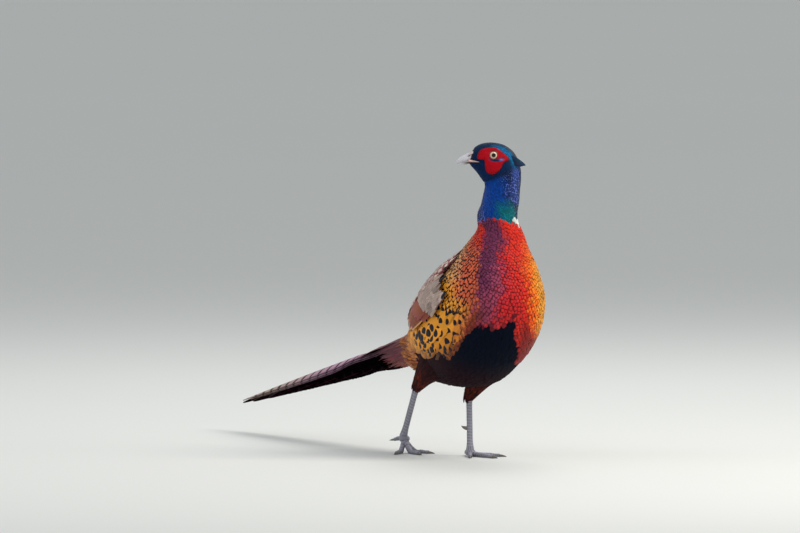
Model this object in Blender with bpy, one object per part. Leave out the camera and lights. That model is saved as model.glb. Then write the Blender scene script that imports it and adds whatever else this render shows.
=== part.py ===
"""A cock common pheasant, life size, in mid stride with its head turned to its right.

Metres, +Z up. The body faces -Y and its left side is +X. It is modelled over a ground point
between the feet, and the whole model is then moved so that the middle of its base is the origin.

The head, neck and torso are one loft of cross sections. skin() gives any point on that loft
from q, counted in sections from bill to tail, and phi, the angle round it from the back
(0) over the bird's left side (pi / 2) to the belly (pi). Feathers are laid out in q and phi.
"""

import math
import random

import bmesh
import bpy
import numpy as np
from mathutils import Matrix, Vector
from mathutils.bvhtree import BVHTree

# Driving sizes
GAP = 0.0003
FULLNESS = 2.15
HEAD_TURN = 112.0
NECK_PIVOT = 0.092
EYE_FRONT = 0.1066
EYE_HEIGHT = 0.3974
EYE_RADIUS = 0.0062
EYE_OPENING = 0.0052
LID_RADIUS = 0.0009
TAIL_SLOPE = math.radians(12.1)
TAIL_LENGTH = 0.505
TAIL_PAIRS = 7
TAIL_LAYER = 0.0013
ROOF_SLOPE = 0.40
ROOF_STEEPER = 0.32
VANE_EDGE = 0.0006
VANE_SHAFT = 0.0012
PLATE_LIFT = 0.0014
PLATE_TOP = 0.0040
TOE_SINK = 0.0006
SHINGLE = 0.0015
FLAT_ANGLE = 0.01
RANDOM_SEED = 12

rng = random.Random(RANDOM_SEED)


# Section outline: back point and belly point as (front, height), half width, yaw and pivot.
# A yawed section is turned to the bird's right about an upright axis at its pivot.
SECTIONS = {
    "bill_base": ((0.1326, 0.4034), (0.1371, 0.3856), 0.0070),
    "forehead": ((0.1272, 0.4086), (0.1340, 0.3826), 0.0105),
    "brow": ((0.1188, 0.4122), (0.1308, 0.3790), 0.0135),
    "crown": ((0.1060, 0.4132), (0.1277, 0.3758), 0.0156),
    "crown_back": ((0.0915, 0.4100), (0.1247, 0.3718), 0.0168),
    "occiput": ((0.0785, 0.4005), (0.1215, 0.3670), 0.0176),
    "nape": ((0.0710, 0.3850), (0.1185, 0.3630), 0.0185),
    "neck_top": ((0.0690, 0.3680), (0.1158, 0.3585), 0.0205),
    "mid_neck": ((0.0600, 0.3390), (0.1080, 0.3345), 0.0243),
    "collar": ((0.0530, 0.3115), (0.1030, 0.3075), 0.0260),
    "lower_neck": ((0.0370, 0.2905), (0.1095, 0.2800), 0.0358),
    "shoulder": ((0.0165, 0.2670), (0.1285, 0.2460), 0.0512),
    "upper_breast": ((-0.0100, 0.2470), (0.1370, 0.2080), 0.0635),
    "breast": ((-0.0400, 0.2290), (0.1290, 0.1700), 0.0690),
    "lower_breast": ((-0.0660, 0.2110), (0.1000, 0.1330), 0.0685),
    "belly": ((-0.0890, 0.1950), (0.0560, 0.1060), 0.0625),
    "hip": ((-0.1075, 0.1820), (0.0050, 0.0955), 0.0490),
    "vent": ((-0.1230, 0.1715), (-0.0550, 0.0965), 0.0350),
    "rump": ((-0.1355, 0.1630), (-0.1010, 0.1050), 0.0250),
    "tail_root": ((-0.1470, 0.1540), (-0.1360, 0.1185), 0.0205),
}
YAW = {"mid_neck": 78.0, "collar": 34.0, "lower_neck": 9.0}
PIVOT = {"mid_neck": 0.084, "collar": 0.078}
# The loft goes on over the tail as an empty sleeve, which the tail coverts lie on.
# Each row is the way along the tail, the height above its axis, and the half width.
SLEEVE = {
    "sleeve_a": (0.045, 0.0102, 0.0205),
    "sleeve_b": (0.095, 0.0088, 0.0200),
    "sleeve_c": (0.150, 0.0085, 0.0205),
    "sleeve_d": (0.210, 0.0085, 0.0205),
}
SLEEVE_BELOW = 0.0225

TAIL_ROOT = np.array([0.0, 0.1420, 0.1415])
TAIL_AXIS = np.array([0.0, math.cos(TAIL_SLOPE), -math.sin(TAIL_SLOPE)])
TAIL_UP = np.array([0.0, math.sin(TAIL_SLOPE), math.cos(TAIL_SLOPE)])
LEFTWARD = np.array([1.0, 0.0, 0.0])


def section_table():
    """The numbers of each section, and the q of each section's name."""
    rows = []
    names = list(SECTIONS)
    head_end = names.index("neck_top")
    for place, name in enumerate(names):
        back, belly, half_width = SECTIONS[name]
        yaw = HEAD_TURN if place <= head_end else YAW.get(name, 0.0)
        pivot = PIVOT.get(name, NECK_PIVOT)
        rows.append([*back, *belly, half_width, math.radians(yaw), pivot])
    for name, (along, above, half_width) in SLEEVE.items():
        middle = TAIL_ROOT + TAIL_AXIS * along
        back = middle + TAIL_UP * above
        belly = middle - TAIL_UP * SLEEVE_BELOW
        rows.append([-back[1], back[2], -belly[1], belly[2], half_width, 0.0, NECK_PIVOT])
        names.append(name)
    return np.array(rows), {name: float(q) for q, name in enumerate(names)}


ROWS, AT = section_table()


def section(q):
    """The section numbers at q, on a smooth curve through the rows."""
    q = np.clip(np.asarray(q, float), 0.0, len(ROWS) - 1.0)
    i = np.minimum(q.astype(int), len(ROWS) - 2)
    t = (q - i)[..., None]
    before, here = ROWS[np.maximum(i - 1, 0)], ROWS[i]
    after, beyond = ROWS[i + 1], ROWS[np.minimum(i + 2, len(ROWS) - 1)]
    return 0.5 * (
        2 * here
        + (after - before) * t
        + (2 * before - 5 * here + 4 * after - beyond) * t**2
        + (3 * here - before - 3 * after + beyond) * t**3
    )


def turned(front, height, yaw, pivot, side=0.0):
    """The point at that front and height in a section plane turned about its pivot."""
    reach = front - pivot
    x = -np.sin(yaw) * reach + np.cos(yaw) * side
    y = -pivot - np.cos(yaw) * reach - np.sin(yaw) * side
    return np.stack([x, y, height + 0.0 * x], axis=-1)


def bare_skin(q, phi):
    q, phi = np.broadcast_arrays(np.asarray(q, float), np.asarray(phi, float))
    row = section(q)
    back_f, back_z, belly_f, belly_z, half_width, yaw, pivot = np.moveaxis(row, -1, 0)
    power = 2.0 / FULLNESS
    along = np.sign(np.cos(phi)) * np.abs(np.cos(phi)) ** power
    across = np.sign(np.sin(phi)) * np.abs(np.sin(phi)) ** power
    front = (back_f + belly_f) / 2 + along * (back_f - belly_f) / 2
    height = (back_z + belly_z) / 2 + along * (back_z - belly_z) / 2
    return turned(front, height, yaw, pivot, across * half_width)


def outward(q, phi):
    """Unit vectors square to the skin."""
    step = 0.02
    round_it = bare_skin(q, phi + step) - bare_skin(q, phi - step)
    along_it = bare_skin(q + step, phi) - bare_skin(q - step, phi)
    square = np.cross(round_it, along_it)
    return square / np.maximum(np.linalg.norm(square, axis=-1, keepdims=True), 1e-12)


def skin(q, phi, lift=0.0):
    """The point at that lift above the skin."""
    q, phi = np.broadcast_arrays(np.asarray(q, float), np.asarray(phi, float))
    return bare_skin(q, phi) + outward(q, phi) * np.asarray(lift, float)[..., None]


def head_point(forward, side, up):
    """A point from its place ahead of, to the left of and above the middle between the eyes."""
    yaw = math.radians(HEAD_TURN)
    return turned(EYE_FRONT + forward, EYE_HEIGHT + up, yaw, NECK_PIVOT, side)


def unit(v):
    return np.asarray(v, float) / np.linalg.norm(v)


def new_object(name, points, faces):
    mesh = bpy.data.meshes.new(name)
    mesh.from_pydata([tuple(map(float, p)) for p in points], [], [tuple(map(int, f)) for f in faces])
    body = bmesh.new()
    body.from_mesh(mesh)
    bmesh.ops.recalc_face_normals(body, faces=body.faces)
    if body.calc_volume(signed=True) < 0:
        bmesh.ops.reverse_faces(body, faces=body.faces)
    body.to_mesh(mesh)
    body.free()
    obj = bpy.data.objects.new(name, mesh)
    bpy.context.scene.collection.objects.link(obj)
    return obj


def tube(name, rings):
    """A closed body through rings of equal count, with a fan on each end."""
    rings = np.asarray(rings, float)
    count, sides, _ = rings.shape
    points = [*rings.reshape(-1, 3), rings[0].mean(0), rings[-1].mean(0)]
    faces = []
    for i in range(count - 1):
        for j in range(sides):
            k = (j + 1) % sides
            faces.append((i * sides + j, i * sides + k, (i + 1) * sides + k, (i + 1) * sides + j))
    first, last = count * sides, count * sides + 1
    for j in range(sides):
        k = (j + 1) % sides
        faces.append((k, j, first))
        faces.append(((count - 1) * sides + j, (count - 1) * sides + k, last))
    return new_object(name, points, faces)


def loft(name, q_start, q_end, rings, sides, lift=0.0, gap=GAP / 2):
    """A length of the skin as a closed body, cut back by the gap at both ends."""
    q = np.linspace(q_start, q_end, rings)[:, None]
    phi = np.linspace(0, 2 * math.pi, sides, endpoint=False)[None, :]
    made = skin(q, phi, lift)
    for end, sign in ((0, 1.0), (-1, -1.0)):
        ring = made[end]
        square = unit(np.cross(ring[sides // 4] - ring[0], ring[sides // 2] - ring[0]))
        onward = made[1 if end == 0 else -2].mean(0) - ring.mean(0)
        made[end] = ring + square * np.sign(square @ onward) * gap
    return tube(name, made)


def swept(name, path, radii, sides=10, up=(0.0, 0.0, 1.0)):
    """A round or oval tube along a path. Each radius may be one number or (across, along up)."""
    path = np.asarray(path, float)
    rings = []
    for i, centre in enumerate(path):
        way = unit(path[min(i + 1, len(path) - 1)] - path[max(i - 1, 0)])
        across = unit(np.cross(way, up))
        over = np.cross(across, way)
        wide, high = np.broadcast_to(radii[i], 2)
        turn = np.linspace(0, 2 * math.pi, sides, endpoint=False)[:, None]
        rings.append(centre + across * np.cos(turn) * wide + over * np.sin(turn) * high)
    return tube(name, rings)


def smooth_path(keys, count):
    """Points spread evenly in key number along a smooth curve through the keys."""
    keys = np.asarray(keys, float)
    at = np.linspace(0, len(keys) - 1, count)
    i = np.minimum(at.astype(int), len(keys) - 2)
    t = (at - i)[:, None]
    before, here = keys[np.maximum(i - 1, 0)], keys[i]
    after, beyond = keys[i + 1], keys[np.minimum(i + 2, len(keys) - 1)]
    return 0.5 * (
        2 * here
        + (after - before) * t
        + (2 * before - 5 * here + 4 * after - beyond) * t**2
        + (3 * here - before - 3 * after + beyond) * t**3
    )


BLUNT = ((0.0, 0.40), (0.40, 1.0), (0.80, 0.86), (1.0, 0.22))
POINTED = ((0.0, 0.35), (0.45, 1.0), (0.78, 0.62), (1.0, 0.10))


def vane(name, path, up, half_width, outline=BLUNT, droop=0.04, shingle=0.0, shaft=VANE_SHAFT):
    """A feather: a thin blade along a path, thicker at the shaft, its edges lowered by droop.

    Both faces are split into triangles alike, so that a curved blade never crosses itself.
    """
    stops = np.array([s for s, _ in outline])
    widths = np.array([w for _, w in outline]) * half_width
    at = stops * (len(path) - 1)
    whole = np.arange(len(path))
    centre = np.stack([np.interp(at, whole, path[:, k]) for k in range(3)], axis=1)
    over = np.stack([np.interp(at, whole, up[:, k]) for k in range(3)], axis=1)
    points = []
    for i, width in enumerate(widths):
        way = unit(centre[min(i + 1, len(centre) - 1)] - centre[max(i - 1, 0)])
        normal = unit(over[i] - way * (over[i] @ way))
        across = np.cross(normal, way)
        lower = normal * droop * width
        slant = normal * shingle * width / half_width
        left = centre[i] - across * width - lower + slant
        right = centre[i] + across * width - lower - slant
        edge, mid = normal * VANE_EDGE / 2, normal * shaft / 2
        points += [left + edge, centre[i] + mid, right + edge]
        points += [right - edge, centre[i] - mid, left - edge]
    faces = []
    for i in range(len(widths) - 1):
        for k in range(6):
            a, d = i * 6 + k, i * 6 + (k + 1) % 6
            b, c = a + 6, d + 6
            under = k in (3, 4)
            faces += [(a, b, d), (b, c, d)] if under else [(a, b, c), (a, c, d)]
    last = (len(widths) - 1) * 6
    faces += [(0, 1, 5), (1, 4, 5), (1, 2, 4), (2, 3, 4)]
    faces += [tuple(last + k for k in f) for f in ((5, 1, 0), (5, 4, 1), (4, 2, 1), (4, 3, 2))]
    return new_object(name, points, faces)


# The faces of a box whose corners run over x, then y, then z
BOX_FACES = ((0, 1, 3, 2), (4, 5, 7, 6), (0, 1, 5, 4), (2, 3, 7, 6), (0, 2, 6, 4), (1, 3, 7, 5))


def largest_body(mesh):
    """Drops every closed surface of the mesh but the one of largest volume."""
    body = bmesh.new()
    body.from_mesh(mesh)
    bmesh.ops.triangulate(body, faces=body.faces)
    unseen, groups = set(body.faces), []
    while unseen:
        stack = [unseen.pop()]
        group = list(stack)
        while stack:
            for edge in stack.pop().edges:
                for face in edge.link_faces:
                    if face in unseen:
                        unseen.discard(face)
                        stack.append(face)
                        group.append(face)
        groups.append(group)

    def volume(group):
        corners = [[v.co for v in f.verts] for f in group]
        return sum(a.dot(b.cross(c)) for a, b, c in corners) / 6

    keep = set(max(groups, key=volume))
    bmesh.ops.delete(body, geom=[f for f in body.faces if f not in keep], context="FACES")
    loose = [v for v in body.verts if not v.link_faces]
    bmesh.ops.delete(body, geom=loose, context="VERTS")
    bmesh.ops.dissolve_limit(body, angle_limit=FLAT_ANGLE, verts=body.verts, edges=body.edges)
    bmesh.ops.triangulate(body, faces=body.faces)
    body.to_mesh(mesh)
    body.free()


def combine(obj, others, operation):
    """Joins the others to the object, or cuts them from it, and removes them."""
    group = bpy.data.collections.new(obj.name + "_pieces")
    for other in others:
        group.objects.link(other)
    step = obj.modifiers.new("join", "BOOLEAN")
    step.operation = operation
    step.solver = "MANIFOLD"
    step.operand_type = "COLLECTION"
    step.collection = group
    bpy.context.view_layer.update()
    made = bpy.data.meshes.new_from_object(obj.evaluated_get(bpy.context.evaluated_depsgraph_get()))
    obj.modifiers.clear()
    obj.data = made
    for other in others:
        bpy.data.objects.remove(other)
    bpy.data.collections.remove(group)
    largest_body(obj.data)
    return obj


def ellipsoid(name, centre, radii, axes, segments=12, rings=8):
    """An ellipsoid whose radii lie along three given unit vectors."""
    ball = bmesh.new()
    bmesh.ops.create_uvsphere(ball, u_segments=segments, v_segments=rings, radius=1.0)
    frame = np.array(axes) * np.array(radii)[:, None]
    points = [np.array(v.co) @ frame + centre for v in ball.verts]
    faces = [[v.index for v in f.verts] for f in ball.faces]
    ball.free()
    return new_object(name, points, faces)


# Head

HEAD_FORWARD = unit(head_point(1, 0, 0) - head_point(0, 0, 0))
HEAD_LEFT = unit(head_point(0, 1, 0) - head_point(0, 0, 0))
UPWARD = np.array([0.0, 0.0, 1.0])
HEAD_CUT = AT["neck_top"] + 0.25
NECK_CUT = AT["collar"] + 0.12
MOUTH_UP = -0.00865
GAPE_FORWARD = 0.0185
MOUTH_SLIT = 0.0007


def head_surface():
    """The smooth head and upper neck as a tree for casting rays at."""
    model = loft("head_model", 0.0, HEAD_CUT + 1.2, 44, 64, gap=0.0)
    tree = BVHTree.FromObject(model, bpy.context.evaluated_depsgraph_get())
    bpy.data.objects.remove(model)
    return tree


def on_head(tree, forward, up, side):
    """Where a sideways ray meets the head, and the way out there."""
    start = Vector(head_point(forward, side * 0.06, up))
    hit, normal, _, _ = tree.ray_cast(start, Vector(-HEAD_LEFT * side))
    if hit is None:
        raise ValueError(f"no head at {forward}, {up}")
    normal = np.array(normal)
    return np.array(hit), normal if normal @ HEAD_LEFT * side > 0 else -normal


def eye_seat(tree, side):
    hit, _ = on_head(tree, 0.0, 0.0, side)
    return hit - HEAD_LEFT * side * 0.0044


def lid_ring(name, tree, side):
    """A rounded ring round the opening of the eye."""
    seat, _ = on_head(tree, 0.0, 0.0, side)
    centre = seat + HEAD_LEFT * side * 0.0003
    major = EYE_OPENING
    points, faces = [], []
    around, across = 16, 4
    for i in range(around):
        turn = 2 * math.pi * i / around
        spoke = HEAD_FORWARD * math.cos(turn) + UPWARD * math.sin(turn)
        for j in range(across):
            roll = 2 * math.pi * j / across
            out = spoke * (major + LID_RADIUS * math.cos(roll))
            points.append(centre + out + HEAD_LEFT * side * LID_RADIUS * math.sin(roll))
    for i in range(around):
        for j in range(across):
            k, m = (i + 1) % around, (j + 1) % across
            faces.append((i * across + j, k * across + j, k * across + m, i * across + m))
    return new_object(name, points, faces)


def ear_tuft(side):
    """The pointed feather horn behind each eye, as a fan of blades."""
    blades = []
    for k in range(3):
        spread = k / 2.0
        root = head_point(-0.0221 - 0.001 * spread, side * 0.0135, 0.003 - 0.010 * spread)
        middle = head_point(-0.0321, side * (0.0175 - 0.002 * spread), -0.002 - 0.010 * spread)
        tip = head_point(-0.0431 + 0.0035 * spread, side * 0.0125, -0.0125 - 0.006 * spread)
        path = smooth_path([root, middle, tip], 7)
        up = np.tile(HEAD_LEFT * side, (7, 1))
        blades.append(vane(f"tuft_{k}", path, up, 0.0036, POINTED, droop=0.15, shaft=0.0016))
    return blades


def make_head(tree):
    head = loft("head", 0.0, HEAD_CUT, 15, 24)
    additions = [lid_ring("lid", tree, side) for side in (1, -1)]
    additions += [blade for side in (1, -1) for blade in ear_tuft(side)]
    combine(head, additions, "UNION")
    cutters = []
    for side in (1, -1):
        axes = (HEAD_FORWARD, HEAD_LEFT, UPWARD)
        socket = EYE_RADIUS + GAP
        cutters.append(ellipsoid("socket", eye_seat(tree, side), (socket,) * 3, axes, 12, 8))
    combine(head, cutters, "DIFFERENCE")
    low, high = MOUTH_UP - MOUTH_SLIT / 2, MOUTH_UP + MOUTH_SLIT / 2
    corners = [
        head_point(forward, across, up)
        for forward in (GAPE_FORWARD, 0.040)
        for across in (-0.02, 0.02)
        for up in (low, high)
    ]
    combine(head, [new_object("slit", corners, BOX_FACES)], "DIFFERENCE")
    return head


def make_eye(tree, side, name):
    axes = (HEAD_FORWARD, UPWARD, HEAD_LEFT)
    return ellipsoid(name, eye_seat(tree, side), (EYE_RADIUS,) * 3, axes, 12, 8)


# Outline of the red face skin: angle up from straight ahead in degrees, and reach from the eye.
WATTLE_REACH = (
    (0, 0.0208), (15, 0.0200), (30, 0.0160), (48, 0.0110), (70, 0.0086), (95, 0.0080),
    (125, 0.0084), (150, 0.0100), (172, 0.0140), (190, 0.0195), (201, 0.0175), (214, 0.0160),
    (232, 0.0180), (250, 0.0225), (268, 0.0255), (283, 0.0240), (298, 0.0185), (314, 0.0140),
    (330, 0.0150), (346, 0.0190), (360, 0.0205),
)  # fmt: skip
WATTLE_INNER = 0.0068
BULB_SPACING = 0.0024
WATTLE_LIFT = 0.0005


def wattle_thickness(forward, up, share):
    """Flesh that is set with round bulbs and thins to its rim, with a furrow under the eye."""
    across = math.cos(2 * math.pi * forward / BULB_SPACING)
    rows = math.cos(2 * math.pi * (0.5 * forward + 0.87 * up) / BULB_SPACING)
    bulb = 0.5 + 0.25 * (across + rows)
    from_eye, below_eye = (forward + 0.006) / 0.008, (up + 0.0078 - 0.15 * forward) / 0.0015
    furrow = math.exp(-(from_eye**2) - below_eye**2)
    rim = 1.0 - 0.55 * share**4
    return (0.0009 + 0.0006 * bulb) * rim * (1.0 - 0.5 * furrow)


def make_wattle(tree, side, name):
    """The bare red face round one eye: a band to the bill and brow and a lobe on the cheek."""
    around, rings = 28, 4
    angles, reaches = np.array(WATTLE_REACH).T
    under, over = [], []
    for i in range(rings):
        share = i / (rings - 1)
        for j in range(around):
            angle = 360.0 * j / around
            reach = np.interp(angle, angles, reaches)
            radius = WATTLE_INNER + (reach - WATTLE_INNER) * share
            forward = radius * math.cos(math.radians(angle))
            up = radius * math.sin(math.radians(angle))
            hit, normal = on_head(tree, forward, up, side)
            under.append(hit + normal * WATTLE_LIFT)
            over.append(hit + normal * (WATTLE_LIFT + wattle_thickness(forward, up, share)))
    points = under + over
    top = len(under)
    faces = []
    for i in range(rings - 1):
        for j in range(around):
            k = (j + 1) % around
            a, b, c, d = i * around + j, i * around + k, (i + 1) * around + k, (i + 1) * around + j
            faces += [(a, b, c), (a, c, d)]
            faces += [(top + a, top + c, top + b), (top + a, top + d, top + c)]
    for i in (0, rings - 1):
        for j in range(around):
            a, b = i * around + j, i * around + (j + 1) % around
            faces.append((a, b, top + b, top + a))
    return new_object(name, points, faces)


# Bill sections: top (forward, up), bottom (forward, up), half width
UPPER_BILL = (
    ((0.0263, 0.0044), (0.0299, -0.0083), 0.0064),
    ((0.0290, 0.0034), (0.0315, -0.0084), 0.0060),
    ((0.0326, 0.0016), (0.0342, -0.0086), 0.0053),
    ((0.0380, -0.0010), (0.0387, -0.0090), 0.0041),
    ((0.0430, -0.0040), (0.0430, -0.0096), 0.0029),
    ((0.0465, -0.0073), (0.0460, -0.0106), 0.0017),
    ((0.0484, -0.0110), (0.0476, -0.0121), 0.0005),
)
LOWER_BILL = (
    ((0.0302, -0.0091), (0.0309, -0.0117), 0.0057),
    ((0.0330, -0.0092), (0.0338, -0.0124), 0.0051),
    ((0.0370, -0.0097), (0.0375, -0.0127), 0.0040),
    ((0.0415, -0.0103), (0.0415, -0.0123), 0.0026),
    ((0.0448, -0.0113), (0.0446, -0.0119), 0.0008),
)
NOSTRIL = (0.0315, -0.0022)


def bill_half(name, sections, rings, roundness):
    keys = np.array([[*top, *bottom, half] for top, bottom, half in sections])
    made = []
    for top_f, top_z, low_f, low_z, half in smooth_path(keys, rings):
        turn = np.linspace(0, 2 * math.pi, 12, endpoint=False)
        along = np.sign(np.cos(turn)) * np.abs(np.cos(turn)) ** roundness
        across = np.sign(np.sin(turn)) * np.abs(np.sin(turn)) ** roundness
        forward = (top_f + low_f) / 2 + along * (top_f - low_f) / 2
        up = (top_z + low_z) / 2 + along * (top_z - low_z) / 2
        made.append([head_point(f, s * half, z) for f, s, z in zip(forward, across, up)])
    return tube(name, made)


def make_bill():
    upper = bill_half("bill_upper", UPPER_BILL, 10, 0.88)
    slant = math.radians(-28)
    along = HEAD_FORWARD * math.cos(slant) + UPWARD * math.sin(slant)
    axes = (along, HEAD_LEFT, np.cross(along, HEAD_LEFT))
    pits = []
    for side in (1, -1):
        centre = head_point(NOSTRIL[0], side * 0.0060, NOSTRIL[1])
        pits.append(ellipsoid("nostril", centre, (0.0024, 0.0018, 0.0008), axes))
    combine(upper, pits, "DIFFERENCE")
    lower = bill_half("bill_lower", LOWER_BILL, 7, 0.88)
    return upper, lower


# Torso, neck, wings and coverts


def make_neck():
    return loft("neck", HEAD_CUT, NECK_CUT, 8, 24)


def make_torso():
    return loft("torso", NECK_CUT, AT["tail_root"], 20, 26)


def plate(q_lines, top_angle, bottom_angle, columns, side):
    """A thin patch over the skin, between two angles that vary along q."""
    under, over = [], []
    for q in q_lines:
        for share in np.linspace(0, 1, columns):
            phi = side * math.radians(top_angle(q) + (bottom_angle(q) - top_angle(q)) * share)
            rim = 1.0 - 0.5 * abs(2 * share - 1) ** 6
            under.append(skin(q, phi, PLATE_LIFT))
            over.append(skin(q, phi, PLATE_LIFT + (PLATE_TOP - PLATE_LIFT) * rim))
    rows, top = len(q_lines), len(under)
    faces = []
    for i in range(rows - 1):
        for j in range(columns - 1):
            a, b = i * columns + j, i * columns + j + 1
            c, d = b + columns, a + columns
            faces += [(a, b, c), (a, c, d), (top + a, top + c, top + b), (top + a, top + d, top + c)]
    rim = list(range(columns))
    rim += [i * columns + columns - 1 for i in range(1, rows)]
    rim += [(rows - 1) * columns + j for j in reversed(range(columns - 1))]
    rim += [i * columns for i in reversed(range(1, rows - 1))]
    for a, b in zip(rim, rim[1:] + rim[:1]):
        faces.append((a, b, top + b, top + a))
    return new_object("plate", under + over, faces)


def laid(name, start, end, lifts, half_width, side, outline=BLUNT, shingle=0.0, arch=0.0):
    """A feather that lies over the skin from one (q, degrees) to another."""
    share = np.linspace(0, 1, 9)
    q = start[0] + (end[0] - start[0]) * share
    phi = side * np.radians(start[1] + (end[1] - start[1]) * share)
    lift = lifts[0] + (lifts[1] - lifts[0]) * share + arch * np.sin(math.pi * share)
    path = skin(q, phi, lift)
    return vane(name, path, outward(q, phi), half_width, outline, 0.04, shingle)


WING_ROWS = (11.6, 11.85, 12.15, 12.5, 13.0, 13.7, 14.6, 15.5, 16.3, 17.0)
WING_TOP = ((11.6, 34), (13.0, 27), (17.0, 36))
WING_BOTTOM = ((11.6, 58), (12.1, 76), (12.8, 88), (13.8, 93), (15.2, 90), (16.3, 78), (17.0, 64))

# Wing tiers, hindmost and lowest first: feathers, root (q, top angle, bottom angle),
# tip (q, top angle, bottom angle), half width, lift at root and tip.
WING_TIERS = (
    (3, (15.4, 60, 80), (17.7, 50, 66), 0.0085, (0.0034, 0.0068)),
    (5, (14.5, 48, 89), (16.8, 44, 82), 0.0120, (0.0034, 0.0072)),
    (5, (13.5, 46, 90), (15.8, 42, 89), 0.0125, (0.0034, 0.0084)),
    (4, (12.7, 45, 84), (14.4, 42, 88), 0.0130, (0.0034, 0.0084)),
    (3, (11.95, 44, 62), (13.4, 42, 78), 0.0110, (0.0046, 0.0088)),
)
SCAPULARS = 3
SCAPULAR_HALF_WIDTH = 0.0100


def wing_angle(table):
    q_at, angle_at = np.array(table, float).T
    return lambda q: float(np.interp(q, q_at, angle_at))


def make_wing(side, name):
    """A folded wing: a thin core over the flank with its feathers in overlapping tiers."""
    top, bottom = wing_angle(WING_TOP), wing_angle(WING_BOTTOM)
    wing = plate(WING_ROWS, top, bottom, 7, side)
    wing.name = name
    feathers = []
    for count, root, tip, half_width, lifts in WING_TIERS:
        for k in range(count):
            share = k / (count - 1)
            start = (root[0] + rng.uniform(-0.05, 0.05), root[1] + (root[2] - root[1]) * share)
            end = (tip[0] + rng.uniform(-0.08, 0.08), tip[1] + (tip[2] - tip[1]) * share)
            feathers.append(
                laid("wing_feather", start, end, lifts, half_width, side, shingle=side * SHINGLE)
            )
    for k in range(SCAPULARS):
        q = 11.9 + 1.15 * k
        start, end = (q, 35.0 - 0.8 * k), (q + 2.3, 33.0)
        feathers.append(
            laid("scapular", start, end, (0.0034, 0.0100), SCAPULAR_HALF_WIDTH, side, arch=0.0012)
        )
    return combine(wing, feathers, "UNION")


COVERT_START = AT["vent"] + 0.55
COVERT_END = AT["tail_root"] - 0.12
SLEEVE_SIDES = 24
RING_LIFT = 0.0009
RING_TOP = 0.0030

# Tail covert tiers: feathers, root q, first and last angle, tip q above and below, half width,
# lift at root and tip.
COVERT_TIERS = (
    (6, 18.45, -96.0, 96.0, 21.8, 21.0, 0.0095, (0.0021, 0.0032)),
    (5, 17.80, -84.0, 84.0, 20.5, 19.9, 0.0095, (0.0021, 0.0045)),
    (3, 18.3, 140.0, 220.0, 20.8, 20.8, 0.0095, (0.0021, 0.0032)),
)


def make_coverts():
    """The ring of rump and the long feathers that cover the root of the tail."""
    q_lines = np.linspace(COVERT_START, COVERT_END, 4)
    phi = np.linspace(0, 2 * math.pi, SLEEVE_SIDES, endpoint=False)
    points, faces = [], []
    for lift in (RING_LIFT, RING_TOP):
        for i, q in enumerate(q_lines):
            rim = 0.6 if lift > RING_LIFT and i in (0, len(q_lines) - 1) else 1.0
            points += list(skin(q, phi, RING_LIFT + (lift - RING_LIFT) * rim))
    rows, top = len(q_lines), len(q_lines) * SLEEVE_SIDES
    for i in range(rows - 1):
        for j in range(SLEEVE_SIDES):
            k = (j + 1) % SLEEVE_SIDES
            a, b = i * SLEEVE_SIDES + j, i * SLEEVE_SIDES + k
            c, d = b + SLEEVE_SIDES, a + SLEEVE_SIDES
            faces += [(a, b, c), (a, c, d), (top + a, top + c, top + b), (top + a, top + d, top + c)]
    for i in (0, rows - 1):
        for j in range(SLEEVE_SIDES):
            a, b = i * SLEEVE_SIDES + j, i * SLEEVE_SIDES + (j + 1) % SLEEVE_SIDES
            faces.append((a, b, top + b, top + a))
    coverts = new_object("tail_coverts", points, faces)
    feathers = []
    for count, root_q, first, last, tip_above, tip_below, half_width, lifts in COVERT_TIERS:
        for k in range(count):
            angle = first + (last - first) * k / (count - 1)
            lean = 0.5 - 0.5 * math.cos(math.radians(angle))
            tip_q = tip_above + (tip_below - tip_above) * lean + rng.uniform(-0.08, 0.08)
            draw_in = 0.93
            side = 1 if angle >= 0 else -1
            start, end = (root_q, abs(angle)), (tip_q, abs(angle) * draw_in)
            if angle > 120:
                end = (tip_q, 180 + (angle - 180) * draw_in)
            feathers.append(
                laid("covert", start, end, lifts, half_width, side, POINTED, shingle=SHINGLE)
            )
    return combine(coverts, feathers, "UNION")


# Tail

TAIL_SHARES = (1.0, 0.95, 0.87, 0.77, 0.66, 0.54, 0.42)
TAIL_HALF_WIDTHS = (0.0175, 0.0170, 0.0155, 0.0140, 0.0125, 0.0115, 0.0100)
TAIL_OUTLINE = ((0.0, 0.18), (0.14, 0.70), (0.36, 1.0), (0.62, 0.86), (0.85, 0.45), (1.0, 0.06))
RIDGE_ROUND = 0.006
# Under the coverts the whole tail lies lower by this much.
ROOT_RISE = 0.0035
PLUG_LENGTH = 0.046


def tail_point(along, side, up):
    beyond = min(max((along - 0.105) / 0.06, 0.0), 1.0)
    up = up + ROOT_RISE * (beyond * beyond * (3 - 2 * beyond) - 1.0)
    sag = 0.006 * (along / TAIL_LENGTH) ** 2
    return TAIL_ROOT + TAIL_AXIS * along + LEFTWARD * side + TAIL_UP * (up - sag)


def roof(side, along):
    """How far the folded tail falls away to each side of its ridge, steeper beyond the coverts."""
    beyond = min(max((along - 0.11) / 0.10, 0.0), 1.0)
    slope = ROOF_SLOPE + ROOF_STEEPER * beyond * beyond * (3 - 2 * beyond)
    return -slope * (math.hypot(side, RIDGE_ROUND) - RIDGE_ROUND)


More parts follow.
